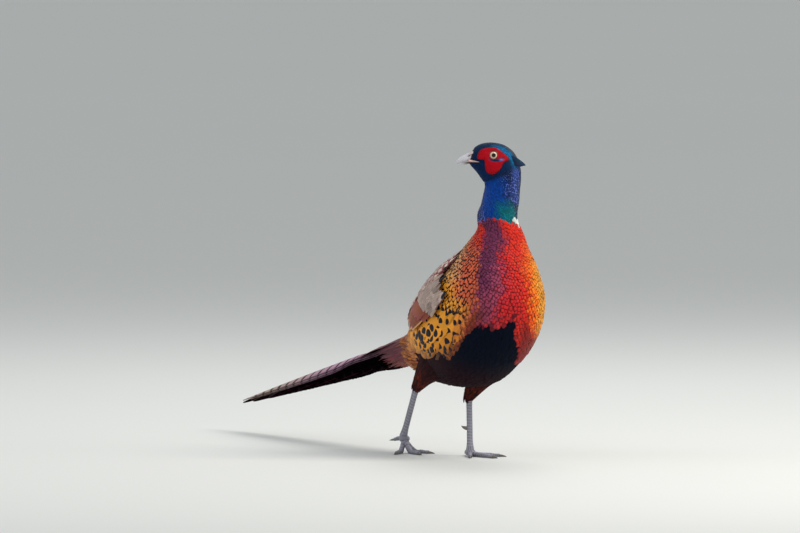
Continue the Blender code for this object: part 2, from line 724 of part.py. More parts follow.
def tail_feather(pair, side, layer):
    """One tail feather, bent to the shared roof shape and one layer below the last."""
    length = TAIL_LENGTH * TAIL_SHARES[pair] * (1.0 + 0.012 * side)
    half = TAIL_HALF_WIDTHS[pair]
    height = 0.0100 - layer * TAIL_LAYER
    root_side, full_side = 0.0015 + 0.0010 * pair, 0.0030 + 0.0019 * pair
    points = []
    for share, width_share in TAIL_OUTLINE:
        along = 0.008 + (length - 0.008) * share
        settle = min(along / 0.10, 1.0)
        settle = settle * settle * (3 - 2 * settle)
        middle = side * (root_side + (full_side - root_side) * settle)
        width = half * width_share
        ring = []
        for across, thick in ((-1, VANE_EDGE), (0, VANE_SHAFT * 0.8), (1, VANE_EDGE)):
            x = middle + across * width
            ring.append((x, height + roof(x, along), thick / 2))
        points += [tail_point(along, x, up + t) for x, up, t in ring]
        points += [tail_point(along, x, up - t) for x, up, t in reversed(ring)]
    faces = []
    for i in range(len(TAIL_OUTLINE) - 1):
        for k in range(6):
            a, d = i * 6 + k, i * 6 + (k + 1) % 6
            b, c = a + 6, d + 6
            faces += [(a, b, d), (b, c, d)] if k in (3, 4) else [(a, b, c), (a, c, d)]
    last = (len(TAIL_OUTLINE) - 1) * 6
    faces += [(0, 1, 5), (1, 4, 5), (1, 2, 4), (2, 3, 4)]
    faces += [tuple(last + k for k in f) for f in ((5, 1, 0), (5, 4, 1), (4, 2, 1), (4, 3, 2))]
    return new_object("tail_feather", points, faces)


def make_tail():
    """Graded feathers stacked like a roof, the middle pair on top and longest."""
    rings = []
    for along, share in ((GAP, 1.0), (0.02, 0.95), (0.036, 0.7), (PLUG_LENGTH, 0.35)):
        turn = np.linspace(0, 2 * math.pi, 16, endpoint=False)
        rings.append(
            [tail_point(along, 0.0165 * share * math.sin(a), 0.0130 * share * math.cos(a)) for a in turn]
        )
    back, belly = bare_skin(AT["tail_root"], np.array([0.0, math.pi]))
    square = unit(np.cross(LEFTWARD, back - belly))
    square = square * np.sign(square @ TAIL_AXIS)
    root_face = (back + belly) / 2 + square * GAP * 2
    rings[0] = [p - TAIL_AXIS * ((p - root_face) @ square) / (TAIL_AXIS @ square) for p in rings[0]]
    tail = tube("tail", rings)
    feathers, layer = [], 0
    for pair in range(TAIL_PAIRS):
        for side in (-1, 1):
            feathers.append(tail_feather(pair, side, layer))
            layer += 1
    return combine(tail, feathers, "UNION")


# Legs: every point is (side, front, height)

LEGS = {
    "left": {
        "thigh": (
            (0.024, 0.010, 0.136),
            (0.024, -0.004, 0.115),
            (0.019, -0.017, 0.095),
            (0.0128, -0.0285, 0.0740),
        ),
        "hock": (0.0135, -0.0270, 0.0765),
        "foot": (0.0090, -0.0160, 0.0125),
        "lift": 0.0,
        "heading": 6.0,
    },
    "right": {
        "thigh": (
            (-0.022, -0.032, 0.138),
            (-0.026, -0.049, 0.121),
            (-0.031, -0.066, 0.105),
            (-0.034, -0.0835, 0.0870),
        ),
        "hock": (-0.0340, -0.0830, 0.0890),
        "foot": (-0.0315, -0.1220, 0.0255),
        "lift": 0.0130,
        "heading": -7.0,
    },
}
THIGH_RADII = (0.032, 0.025, 0.0155, 0.0078)
# Toes: turn outward in degrees, length, radius at root and tip
TOES = {
    "inner": (-34.0, 0.038, 0.0036, 0.0024),
    "middle": (0.0, 0.053, 0.0039, 0.0025),
    "outer": (36.0, 0.040, 0.0036, 0.0024),
}
HALLUX_LENGTH = 0.013
CLAW_LENGTH = 0.0105


def spot(p):
    """A leg point as (x, y, z)."""
    return np.array([p[0], -p[1], p[2]])


def make_thigh(side_name, torso_form):
    leg = LEGS[side_name]
    path = smooth_path([spot(p) for p in leg["thigh"]], 7)
    radii = smooth_path([[r * 0.86, r * 1.1] for r in THIGH_RADII], 7)
    thigh = swept(f"thigh_{side_name}", path, radii, sides=16, up=(0, -1.0, 0))
    hock, foot = spot(leg["hock"]), spot(leg["foot"])
    below = swept("below", [hock, hock + (foot - hock) * 0.6], [0.03, 0.03], up=(0, -1.0, 0))
    return combine(thigh, [torso_form, below], "DIFFERENCE")


SCUTES = 10


def make_tarsus(side_name):
    """The bare shank, with overlapping plates down its front."""
    leg = LEGS[side_name]
    hock, foot = spot(leg["hock"]), spot(leg["foot"])
    way = unit(foot - hock)
    start, end = hock + way * GAP, foot - way * GAP
    across = unit(np.cross(way, (0.0, -1.0, 0.0)))
    front = np.cross(across, way)
    if front[1] > 0:
        front = -front
    shares, steps = [], []
    for k in range(SCUTES):
        shares += [k / SCUTES, (k + 0.96) / SCUTES]
        steps += [0.0, 0.00045]
    rings = []
    for share, step in zip(shares + [1.0], steps + [0.0]):
        joint = 0.0024 * math.exp(-((share / 0.10) ** 2)) + 0.0010 * math.exp(-(((1 - share) / 0.09) ** 2))
        turn = np.linspace(0, 2 * math.pi, 10, endpoint=False)
        ring = []
        for a in turn:
            plate_here = step * max(0.0, math.cos(a)) ** 0.5
            deep = (0.0042 + joint + plate_here) * math.cos(a)
            wide = (0.0034 + 0.7 * joint) * math.sin(a)
            ring.append(start + (end - start) * share + front * deep + across * wide)
        rings.append(ring)
    return tube(f"tarsus_{side_name}", rings)


def make_spur(side_name, tarsus):
    """The horn spur on the inner rear of the shank."""
    leg = LEGS[side_name]
    sign = 1 if side_name == "left" else -1
    hock, foot = spot(leg["hock"]), spot(leg["foot"])
    root = hock + (foot - hock) * 0.64
    way = unit([-sign * 0.45, 0.86, 0.10])
    reach_and_rise = ((0.0, 0.0), (0.0065, 0.0), (0.0100, 0.0006), (0.0135, 0.0018))
    path = [root + way * reach + UPWARD * rise for reach, rise in reach_and_rise]
    spur = swept(f"spur_{side_name}", path, [0.0030, 0.0024, 0.0015, 0.0003], sides=10)
    keep = tarsus.copy()
    keep.data = tarsus.data.copy()
    bpy.context.scene.collection.objects.link(keep)
    middle = sum((v.co for v in keep.data.vertices), Vector()) / len(keep.data.vertices)
    axis = Vector(unit(foot - hock))
    for v in keep.data.vertices:
        away = v.co - middle
        away -= axis * away.dot(axis)
        v.co += away.normalized() * GAP
    return combine(spur, [keep], "DIFFERENCE")


def toe_path(foot, heading, lift, length, radius):
    """A toe's centre line from the ball of the foot to its tip, flat on the floor where it ends."""
    way = np.array([math.sin(heading), -math.cos(heading), 0.0])
    low = radius - TOE_SINK
    start = np.array([foot[0], foot[1], low + lift + 0.0008])
    reach = length * 0.42 if lift else length * 0.16
    knuckle = start + way * reach
    knuckle[2] = low + 0.0002
    keys = [start, knuckle, start + way * length * 0.72, start + way * length]
    for key in keys[2:]:
        key[2] = low - 0.0003
    return smooth_path(keys, 6), way


def claw(name, base, way, radius, drop):
    """A curved horn claw from the end of a toe."""
    path = []
    for share in (0.0, 0.35, 0.7, 1.0):
        point = base + way * CLAW_LENGTH * share
        path.append(point - UPWARD * drop * share**2)
    return swept(name, path, [radius, radius * 0.85, radius * 0.5, radius * 0.12], sides=6)


def make_foot(side_name):
    leg = LEGS[side_name]
    outer_sign = 1 if side_name == "left" else -1
    foot, hock = spot(leg["foot"]), spot(leg["hock"])
    up_leg = unit(hock - foot)
    ball_height = 0.0052 + leg["lift"]
    ball = np.array([foot[0], foot[1], ball_height])
    body = swept(
        f"foot_{side_name}",
        [ball - UPWARD * 0.001, foot - up_leg * 0.004, foot - up_leg * GAP * 0.5],
        [0.0058, 0.0054, 0.0049],
        sides=12,
        up=(0, -1.0, 0),
    )
    pieces = [ellipsoid("ball", ball, (0.0072, 0.0078, 0.0050), np.eye(3), 14, 8)]
    claws = []
    for toe, (turn, length, root_radius, tip_radius) in TOES.items():
        heading = math.radians(leg["heading"] + outer_sign * turn)
        path, way = toe_path(ball, heading, leg["lift"], length, tip_radius)
        share = np.linspace(0, 1, len(path))
        radii = root_radius + (tip_radius - root_radius) * share
        radii = radii * (1.0 + 0.07 * np.cos(share * 6 * math.pi))
        for i, point in enumerate(path):
            point[2] += radii[i] - tip_radius
        pieces.append(swept("toe", path, radii, sides=8))
        base = path[-1] + way * GAP
        base[2] = path[-1][2] + 0.0002
        claws.append(claw(f"claw_{side_name}_{toe}", base, way, tip_radius * 0.72, 0.0013))
    heading = math.radians(leg["heading"] - outer_sign * 20.0)
    back = -np.array([math.sin(heading), -math.cos(heading), 0.0])
    drop = 0.0028
    start = ball + UPWARD * 0.0010
    tip = start + back * (HALLUX_LENGTH + 0.006) - UPWARD * drop
    path = [start, (start + tip) / 2 + UPWARD * 0.0006, tip]
    pieces.append(swept("hallux", path, [0.0032, 0.0028, 0.0021], sides=8))
    slope = unit(tip - start)
    claws.append(claw(f"claw_{side_name}_hallux", tip + slope * GAP, slope, 0.0016, 0.0001))
    combine(body, pieces, "UNION")
    corners = [(x, y, z) for x in (-0.2, 0.2) for y in (-0.1, 0.3) for z in (-0.05, 0.0)]
    combine(body, [new_object("floor", corners, BOX_FACES)], "DIFFERENCE")
    return body, claws


COLOURS = {
    "head": ((0.010, 0.060, 0.080), 0.35, 0.0),
    "neck": ((0.012, 0.050, 0.160), 0.35, 0.0),
    "torso": ((0.42, 0.10, 0.02), 0.5, 0.0),
    "wing": ((0.38, 0.24, 0.14), 0.6, 0.0),
    "tail": ((0.30, 0.18, 0.11), 0.6, 0.0),
    "thigh": ((0.05, 0.02, 0.012), 0.7, 0.0),
    "tarsus": ((0.30, 0.30, 0.33), 0.5, 0.0),
    "foot": ((0.28, 0.28, 0.30), 0.5, 0.0),
    "spur": ((0.12, 0.11, 0.11), 0.4, 0.0),
    "claw": ((0.08, 0.07, 0.07), 0.35, 0.0),
    "bill": ((0.62, 0.56, 0.50), 0.35, 0.0),
    "eye": ((0.75, 0.42, 0.12), 0.05, 0.0),
    "wattle": ((0.60, 0.01, 0.02), 0.5, 0.0),
}


def paint(obj):
    """Gives the object the finish of its kind, read from the first word of its name."""
    kind = obj.name.split("_")[0]
    colour, roughness, metallic = COLOURS[kind]
    finish = bpy.data.materials.new(obj.name)
    finish.use_nodes = True
    shader = finish.node_tree.nodes["Principled BSDF"]
    shader.inputs["Base Color"].default_value = (*colour, 1.0)
    shader.inputs["Roughness"].default_value = roughness
    shader.inputs["Metallic"].default_value = metallic
    finish.diffuse_color = (*colour, 1.0)
    obj.data.materials.clear()
    obj.data.materials.append(finish)
    obj.data.shade_smooth()
    obj.data.set_sharp_from_angle(angle=math.radians(40))


def stand_on_origin(objects):
    """Moves everything so that the middle of the model's base is the origin."""
    corners = np.array([v.co for o in objects for v in o.data.vertices])
    low, high = corners.min(0), corners.max(0)
    move = Vector((-(low[0] + high[0]) / 2, -(low[1] + high[1]) / 2, -low[2]))
    for obj in objects:
        obj.data.transform(Matrix.Translation(move))
    return move


def main():
    for obj in list(bpy.data.objects):
        bpy.data.objects.remove(obj)
    tree = head_surface()
    make_head(tree)
    for side, word in ((1, "left"), (-1, "right")):
        make_eye(tree, side, f"eye_{word}")
        make_wattle(tree, side, f"wattle_{word}")
        make_wing(side, f"wing_{word}")
        torso_form = loft("torso_form", NECK_CUT, AT["tail_root"], 20, 26, lift=GAP + 0.0002)
        make_thigh(word, torso_form)
        make_spur(word, make_tarsus(word))
        make_foot(word)
    make_bill()
    make_neck()
    make_torso()
    make_coverts()
    make_tail()
    objects = [o for o in bpy.data.objects if o.type == "MESH"]
    for obj in objects:
        paint(obj)
    print("moved by", stand_on_origin(objects))


main()
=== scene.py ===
"""Looks of a life-size cock pheasant: skin, feathers, bill, eyes and scaled legs on its frame.

The file is laid out as an add-on and is run as a script. Metres, +Z up, the bird faces -Y.

The head, neck and body are one loft of cross sections. bare_skin() gives any point on it from
q, counted in sections from bill to tail, and phi, the angle round it from the back (0) over the
bird's left side (pi / 2) to the belly (pi). Coats, wings and coverts are laid out in q and phi.
"""

import math

import bmesh
import bpy
import numpy as np
from bpy.props import FloatProperty, FloatVectorProperty, IntProperty, PointerProperty
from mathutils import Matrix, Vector
from mathutils.bvhtree import BVHTree


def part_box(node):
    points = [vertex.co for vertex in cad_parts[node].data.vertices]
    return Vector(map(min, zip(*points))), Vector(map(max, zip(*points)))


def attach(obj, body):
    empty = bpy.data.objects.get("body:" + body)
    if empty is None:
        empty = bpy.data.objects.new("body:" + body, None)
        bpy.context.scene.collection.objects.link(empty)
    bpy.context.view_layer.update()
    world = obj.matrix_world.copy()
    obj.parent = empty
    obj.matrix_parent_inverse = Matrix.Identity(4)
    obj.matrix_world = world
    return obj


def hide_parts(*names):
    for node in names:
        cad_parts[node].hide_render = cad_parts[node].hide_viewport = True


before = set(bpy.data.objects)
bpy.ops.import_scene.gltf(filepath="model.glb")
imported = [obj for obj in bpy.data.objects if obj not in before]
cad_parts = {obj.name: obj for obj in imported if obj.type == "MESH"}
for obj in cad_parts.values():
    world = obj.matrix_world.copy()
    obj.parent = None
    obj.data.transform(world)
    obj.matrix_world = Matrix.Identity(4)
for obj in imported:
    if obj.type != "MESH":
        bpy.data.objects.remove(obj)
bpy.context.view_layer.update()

bl_info = {
    "name": "Cock pheasant looks",
    "version": (1, 0, 0),
    "blender": (4, 5, 0),
    "location": "3D View > Sidebar > Pheasant",
    "description": "Dresses the packed pheasant in skin, feathers, bill, eyes and scaled legs",
    "category": "Add Mesh",
}

ROOT = "root"
SIDES = (("left", 1), ("right", -1))
UP = np.array([0.0, 0.0, 1.0])
SEED = 4127
SHARP_EDGE = math.radians(62)

# The body's form, the same as the frame's: back point and belly point as (front, height), and
# half width. A yawed section is turned to the bird's right about an upright axis at its pivot.
FULLNESS = 2.15
HEAD_TURN = 112.0
NECK_PIVOT = 0.092
EYE_FRONT = 0.1066
EYE_HEIGHT = 0.3974
SECTIONS = {
    "bill_base": ((0.1326, 0.4034), (0.1371, 0.3856), 0.0070),
    "forehead": ((0.1272, 0.4086), (0.1340, 0.3826), 0.0105),
    "brow": ((0.1188, 0.4122), (0.1308, 0.3790), 0.0135),
    "crown": ((0.1060, 0.4132), (0.1277, 0.3758), 0.0156),
    "crown_back": ((0.0915, 0.4100), (0.1247, 0.3718), 0.0168),
    "occiput": ((0.0785, 0.4005), (0.1215, 0.3670), 0.0176),
    "nape": ((0.0710, 0.3850), (0.1185, 0.3630), 0.0185),
    "neck_top": ((0.0690, 0.3680), (0.1158, 0.3585), 0.0205),
    "mid_neck": ((0.0600, 0.3390), (0.1080, 0.3345), 0.0243),
    "collar": ((0.0530, 0.3115), (0.1030, 0.3075), 0.0260),
    "lower_neck": ((0.0370, 0.2905), (0.1095, 0.2800), 0.0358),
    "shoulder": ((0.0165, 0.2670), (0.1285, 0.2460), 0.0512),
    "upper_breast": ((-0.0100, 0.2470), (0.1370, 0.2080), 0.0635),
    "breast": ((-0.0400, 0.2290), (0.1290, 0.1700), 0.0690),
    "lower_breast": ((-0.0660, 0.2110), (0.1000, 0.1330), 0.0685),
    "belly": ((-0.0890, 0.1950), (0.0560, 0.1060), 0.0625),
    "hip": ((-0.1075, 0.1820), (0.0050, 0.0955), 0.0490),
    "vent": ((-0.1230, 0.1715), (-0.0550, 0.0965), 0.0350),
    "rump": ((-0.1355, 0.1630), (-0.1010, 0.1050), 0.0250),
    "tail_root": ((-0.1470, 0.1540), (-0.1360, 0.1185), 0.0205),
}
YAW = {"mid_neck": 78.0, "collar": 34.0, "lower_neck": 9.0}
PIVOT = {"mid_neck": 0.084, "collar": 0.078}
# Each row is the way along the tail, the height above its axis, and the half width.
SLEEVE = {
    "sleeve_a": (0.045, 0.0102, 0.0205),
    "sleeve_b": (0.095, 0.0088, 0.0200),
    "sleeve_c": (0.150, 0.0085, 0.0205),
    "sleeve_d": (0.210, 0.0085, 0.0205),
}
SLEEVE_BELOW = 0.0225
TAIL_SLOPE = math.radians(12.1)
TAIL_ROOT = np.array([0.0, 0.1420, 0.1415])
TAIL_AXIS = np.array([0.0, math.cos(TAIL_SLOPE), -math.sin(TAIL_SLOPE)])
TAIL_UP = np.array([0.0, math.sin(TAIL_SLOPE), math.cos(TAIL_SLOPE)])


def section_table():
    """The numbers of each section, and the q of each section's name."""
    rows, names = [], list(SECTIONS)
    head_end = names.index("neck_top")
    for place, name in enumerate(names):
        back, belly, half_width = SECTIONS[name]
        yaw = HEAD_TURN if place <= head_end else YAW.get(name, 0.0)
        rows.append([*back, *belly, half_width, math.radians(yaw), PIVOT.get(name, NECK_PIVOT)])
    for name, (along, above, half_width) in SLEEVE.items():
        middle = TAIL_ROOT + TAIL_AXIS * along
        back, belly = middle + TAIL_UP * above, middle - TAIL_UP * SLEEVE_BELOW
        rows.append([-back[1], back[2], -belly[1], belly[2], half_width, 0.0, NECK_PIVOT])
        names.append(name)
    return np.array(rows), {name: float(q) for q, name in enumerate(names)}


def spline(keys, at):
    """Points at key numbers `at` on a smooth curve through the keys."""
    keys = np.asarray(keys, float)
    at = np.clip(np.asarray(at, float), 0.0, len(keys) - 1.0)
    i = np.minimum(at.astype(int), len(keys) - 2)
    t = (at - i)[..., None]
    before, here = keys[np.maximum(i - 1, 0)], keys[i]
    after, beyond = keys[i + 1], keys[np.minimum(i + 2, len(keys) - 1)]
    return 0.5 * (
        2 * here
        + (after - before) * t
        + (2 * before - 5 * here + 4 * after - beyond) * t**2
        + (3 * here - before - 3 * after + beyond) * t**3
    )


ROWS, AT = section_table()
Q_STEP = 0.004
FINE_ROWS = spline(ROWS, np.arange(0, len(ROWS) - 1 + Q_STEP, Q_STEP))


def turned(front, height, yaw, pivot, side=0.0):
    """The point at that front and height in a section plane turned about its pivot."""
    reach = front - pivot
    x = -np.sin(yaw) * reach + np.cos(yaw) * side
    y = -pivot - np.cos(yaw) * reach - np.sin(yaw) * side
    return np.stack([x, y, height + 0.0 * x], axis=-1)


def eye_middle():
    """The point between the frame's two eyes."""
    boxes = [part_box(f"eye_{word}") for word, _ in SIDES]
    return sum((np.array(low) + np.array(high) for low, high in boxes), np.zeros(3)) / 4


YAW_HEAD = math.radians(HEAD_TURN)
SHIFT = eye_middle() - turned(EYE_FRONT, EYE_HEIGHT, YAW_HEAD, NECK_PIVOT)


def bare_skin(q, phi):
    """Points on the loft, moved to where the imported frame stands."""
    q, phi = np.broadcast_arrays(np.asarray(q, float), np.asarray(phi, float))
    at = np.clip(q, 0.0, len(ROWS) - 1.0) / Q_STEP
    i = np.minimum(at.astype(int), len(FINE_ROWS) - 2)
    t = (at - i)[..., None]
    row = FINE_ROWS[i] * (1 - t) + FINE_ROWS[i + 1] * t
    back_f, back_z, belly_f, belly_z, half_width, yaw, pivot = np.moveaxis(row, -1, 0)
    power = 2.0 / FULLNESS
    cos, sin = np.cos(phi), np.sin(phi)
    along = np.sign(cos) * np.abs(cos) ** power
    across = np.sign(sin) * np.abs(sin) ** power
    front = (back_f + belly_f) / 2 + along * (back_f - belly_f) / 2
    height = (back_z + belly_z) / 2 + along * (back_z - belly_z) / 2
    return turned(front, height, yaw, pivot, across * half_width) + SHIFT


def span(v):
    """The lengths of vectors."""
    return np.linalg.norm(v, axis=-1)


def normalised(v):
    return v / np.maximum(span(v), 1e-12)[..., None]


class Surface:
    """A smooth surface given by point(q, phi), with phi running round it."""

    STEP = 0.02

    def __init__(self, point):
        self.point = point

    def slopes(self, q, phi):
        """How the point moves for each unit of q and of phi."""
        step = self.STEP
        along = (self.point(q + step, phi) - self.point(q - step, phi)) / (2 * step)
        around = (self.point(q, phi + step) - self.point(q, phi - step)) / (2 * step)
        return along, around

    def outward(self, q, phi):
        along, around = self.slopes(q, phi)
        return normalised(np.cross(around, along))

    def lifted(self, q, phi, lift):
        """The point at that lift above the surface."""
        return self.point(q, phi) + self.outward(q, phi) * np.asarray(lift, float)[..., None]


BODY = Surface(bare_skin)


def head_point(forward, side, up):
    """A point from its place ahead of, to the left of and above the middle between the eyes."""
    return turned(EYE_FRONT + forward, EYE_HEIGHT + up, YAW_HEAD, NECK_PIVOT, side) + SHIFT


HEAD_FORWARD = normalised(head_point(1, 0, 0) - head_point(0, 0, 0))
HEAD_LEFT = normalised(head_point(0, 1, 0) - head_point(0, 0, 0))


# Arithmetic on masks and colours


def smooth(value, low, high):
    """0 below low and 1 above high, with a smooth change between."""
    t = np.clip((value - low) / (high - low), 0.0, 1.0)
    return t * t * (3 - 2 * t)


def fade(value, low, high):
    """1 below low and 0 above high, with a smooth change between."""
    return 1 - smooth(value, low, high)


def band(value, low, high, soft):
    """1 from low to high, falling to 0 over `soft` on each side."""
    return smooth(value, low - soft, low + soft) * fade(value, high - soft, high + soft)


def mixed(a, b, share):
    return a + (np.asarray(b, float) - a) * share[..., None]


def screen_colour(red, green, blue):
    """A linear colour from 8-bit screen values."""
    c = np.array([red, green, blue]) / 255.0
    return tuple(float(v) for v in np.where(c <= 0.04045, c / 12.92, ((c + 0.055) / 1.055) ** 2.4))


# Meshes from arrays


def full_turn(count):
    """Angles of that many places round a ring."""
    return np.linspace(0, 2 * math.pi, count, endpoint=False)


def mesh_object(name, points, triangles, corner_uv=None, **layers):
    """A smooth mesh. A layer of 4 columns is a colour, one of 3 a vector and one of 1 a number."""
    mesh = bpy.data.meshes.new(name)
    mesh.vertices.add(len(points))
    mesh.vertices.foreach_set("co", np.ascontiguousarray(points, np.float32).ravel())
    mesh.loops.add(3 * len(triangles))
    mesh.loops.foreach_set("vertex_index", np.ascontiguousarray(triangles, np.int32).ravel())
    mesh.polygons.add(len(triangles))
    mesh.polygons.foreach_set("loop_start", np.arange(0, 3 * len(triangles), 3, dtype=np.int32))
    mesh.polygons.foreach_set("use_smooth", np.ones(len(triangles), bool))
    mesh.update(calc_edges=True)
    for layer, values in layers.items():
        values = np.ascontiguousarray(values, np.float32)
        width = values.shape[-1] if values.ndim > 1 else 1
        kind, key = {4: ("FLOAT_COLOR", "color"), 3: ("FLOAT_VECTOR", "vector"), 1: ("FLOAT", "value")}[width]
        mesh.attributes.new(layer, kind, "POINT").data.foreach_set(key, values.ravel())
    if corner_uv is not None:
        uv = mesh.uv_layers.new(name="OFBake")
        uv.data.foreach_set("uv", corner_uv[triangles.ravel()].astype(np.float32).ravel())
    mesh.set_sharp_from_angle(angle=SHARP_EDGE)
    obj = bpy.data.objects.new(name, mesh)
    bpy.context.scene.collection.objects.link(obj)
    return obj


def dressed(name, body, material, slot, *nodes, corner_uv=None, **layers):
    """A piece from (points, triangles), on the body, standing for the named nodes. The slot is not used."""
    piece = mesh_object(name, *body, corner_uv, **layers)
    piece.data.materials.append(material)
    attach(piece, ROOT)
    if nodes:
        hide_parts(*nodes)


def grid_triangles(rows, columns):
    """Two triangles for each cell between rings of points, numbered ring by ring."""
    i, j = np.meshgrid(np.arange(rows - 1), np.arange(columns), indexing="ij")
    k = (j + 1) % columns
    a, b, c, d = i * columns + j, i * columns + k, (i + 1) * columns + k, (i + 1) * columns + j
    return np.concatenate([np.stack(corners, -1).reshape(-1, 3) for corners in ((a, b, c), (a, c, d))])


def outward_facing(points, triangles):
    """The triangles turned so that a closed body has positive volume."""
    a, b, c = (points[triangles[:, k]] - points.mean(0) for k in range(3))
    volume = np.einsum("ij,ij->i", a, np.cross(b, c)).sum()
    return triangles if volume > 0 else triangles[:, ::-1]


def tube_arrays(rings):
    """A closed body through rings of equal count, with a fan on each end."""
    rings = np.asarray(rings, float)
    count, sides, _ = rings.shape
    points = np.concatenate([rings.reshape(-1, 3), rings[:1].mean(1), rings[-1:].mean(1)])
    j = np.arange(sides)
    k = (j + 1) % sides
    first, last = count * sides, count * sides + 1
    ends = [
        np.stack([k, j, np.full(sides, first)], -1),
        np.stack([(count - 1) * sides + j, (count - 1) * sides + k, np.full(sides, last)], -1),
    ]
    triangles = np.concatenate([grid_triangles(count, sides), *ends])
    return points, outward_facing(points, triangles)


def joined(parts):
    """Several (points, triangles, ...) as one. Further arrays go point by point."""
    start, points, triangles = 0, [], []
    for part in parts:
        points.append(part[0])
        triangles.append(part[1] + start)
        start += len(part[0])
    more = [np.concatenate([part[k] for part in parts]) for k in range(2, len(parts[0]))]
    return (np.concatenate(points), np.concatenate(triangles), *more)


def swept_rings(path, radii, sides, front=(0.0, -1.0, 0.0)):
    """Rings along a path. Each radius is one number or (across, along front)."""
    path, rings = np.asarray(path, float), []
    cos, sin = np.cos(full_turn(sides)), np.sin(full_turn(sides))
    for i, centre in enumerate(path):
        way = normalised(path[min(i + 1, len(path) - 1)] - path[max(i - 1, 0)])
        across = normalised(np.cross(way, front))
        over = np.cross(across, way)
        wide, deep = np.broadcast_to(radii[i], 2)
        rings.append(centre + across * (sin * wide)[:, None] + over * (cos * deep)[:, None])
    return np.array(rings)


# Feathers

VANE_THICKNESS = 0.05
MAP_PATCH = 0.0030


class Vane:
    """The outline and cross section that the feathers of one kind share."""

    def __init__(self, stops, widths, columns, crown):
        self.stops, self.widths = np.array(stops, float), np.array(widths, float)
        self.across = np.linspace(-1, 1, columns)
        self.crown = crown

    def triangles(self):
        """Faces of one feather: a crowned top, and an underside through one middle line."""
        rows, columns = len(self.stops), len(self.across)
        wide = columns + 1
        faces = []
        for i in range(rows - 1):
            a, b = i * wide, (i + 1) * wide
            for j in range(columns - 1):
                faces += [(a + j, a + j + 1, b + j + 1), (a + j, b + j + 1, b + j)]
            for left, right in ((0, columns), (columns, columns - 1)):
                faces += [(a + left, b + right, a + right), (a + left, b + left, b + right)]
        last = (rows - 1) * wide
        for j in range(columns - 1):
            faces += [(columns, j + 1, j), (last + columns, last + j, last + j + 1)]
        return np.array(faces)


def lay_feathers(surface, vane, places, width, lift, slant):
    """Feathers along paths on a surface: places are q and phi by feather and stop, and so is lift."""
    q, phi = places
    half_width = width[:, None] * 0.5 * vane.widths
    path = surface.point(q, phi)
    way = normalised(np.gradient(path, axis=1))
    across = normalised(np.cross(surface.outward(q, phi), way))
    pq, pf = surface.slopes(q, phi)
    qq, qf, ff = (np.einsum("...i,...i", x, y) for x, y in ((pq, pq), (pq, pf), (pf, pf)))
    scale = np.maximum(qq * ff - qf * qf, 1e-12)
    by_q, by_f = np.einsum("...i,...i", pq, across), np.einsum("...i,...i", pf, across)
    dq, df = (ff * by_q - qf * by_f) / scale, (qq * by_f - qf * by_q) / scale
    s = np.append(vane.across, 0.0)
    reach = half_width[..., None] * s
    rise = half_width[..., None] * vane.crown * (1 - s**2)
    rise[..., -1] -= np.minimum(half_width * VANE_THICKNESS + 0.00008, 0.0006)
    height = lift[..., None] + rise + slant[:, None, None] * s
    at_q, at_phi = q[..., None] + dq[..., None] * reach, phi[..., None] + df[..., None] * reach
    return surface.lifted(at_q, at_phi, height)


def feather_piece(name, vane, grid, roots_uv, look, material, rng, slot, *nodes):
    """One mesh of feathers, each with its look and its own patch of the map."""
    count, rows, wide, _ = grid.shape
    per = rows * wide
    faces = (vane.triangles()[None] + (np.arange(count) * per)[:, None, None]).reshape(-1, 3)
    chance = rng.random(count)[:, None, None]
    own = (np.append(vane.across, 0.0), vane.stops[:, None], chance)
    s, t, chance = (np.broadcast_to(values, (count, rows, wide)) for values in own)
    uv = roots_uv[:, None, None, :] + np.stack([s * 0.5, t - 0.5], -1) * MAP_PATCH
    look = {**look, "tint": np.column_stack([look["tint"], np.ones(count)])}
    layers = {layer: np.repeat(values, per, axis=0) for layer, values in look.items()}
    layers["vane"] = np.stack([s, t, chance], -1).reshape(-1, 3)
    body = (grid.reshape(-1, 3), faces)
    dressed(name, body, material, slot, *nodes, corner_uv=uv.reshape(-1, 2), **layers)


def unwrap(q, phi, q_low, q_high):
    """A place for each root on an unwrap of the skin."""
    u = 0.02 + 0.96 * (np.mod(phi + math.pi, 2 * math.pi)) / (2 * math.pi)
    v = 0.02 + 0.96 * (q - q_low) / (q_high - q_low)
    return np.stack([u, v], -1)


def staggered_roots(surface, pitch, q_low, q_high, rng, jitter=0.10):
    """Roots in staggered rows over a surface, spaced by pitch(q, degrees) along and around."""
    q_line, phi_line = np.linspace(q_low, q_high, 700), np.linspace(-math.pi, math.pi, 541)
    q, phi = np.meshgrid(q_line, phi_line, indexing="ij")
    points = surface.point(q, phi)
    run = span(np.diff(points, axis=0))
    step_along, _ = pitch((q[1:] + q[:-1]) / 2, np.degrees(phi[1:]))
    rows_done = np.concatenate([np.zeros((1, len(phi_line))), np.cumsum(run / step_along, axis=0)])
    found_q, found_phi = [], []
    for k in range(1, int(rows_done.max())):
        row_q = np.array([np.interp(k, column, q_line, right=np.nan) for column in rows_done.T])
        known = np.where(np.isnan(row_q), q_high, row_q)
        ring = surface.point(known, phi_line)
        _, step_around = pitch(known, np.degrees(phi_line))
        pace = span(np.diff(ring, axis=0)) / ((step_around[1:] + step_around[:-1]) / 2)
        so_far = np.concatenate([[0.0], np.cumsum(pace)])
        count = max(int(round(so_far[-1])), 3)
        wanted = (np.arange(count) + 0.5 * (k % 2) + rng.uniform(-jitter, jitter, count)) % count
        at_phi = np.interp(wanted * so_far[-1] / count, so_far, phi_line)
        at_q = np.interp(at_phi, phi_line, row_q)
        keep = ~np.isnan(at_q)
        along, _ = surface.slopes(at_q[keep], at_phi[keep])
        pace_q = span(along)
        step, _ = pitch(at_q[keep], np.degrees(at_phi[keep]))
        found_q.append(at_q[keep] + rng.uniform(-jitter, jitter, keep.sum()) * step / pace_q)
        found_phi.append(at_phi[keep])
    return np.concatenate(found_q), np.concatenate(found_phi)


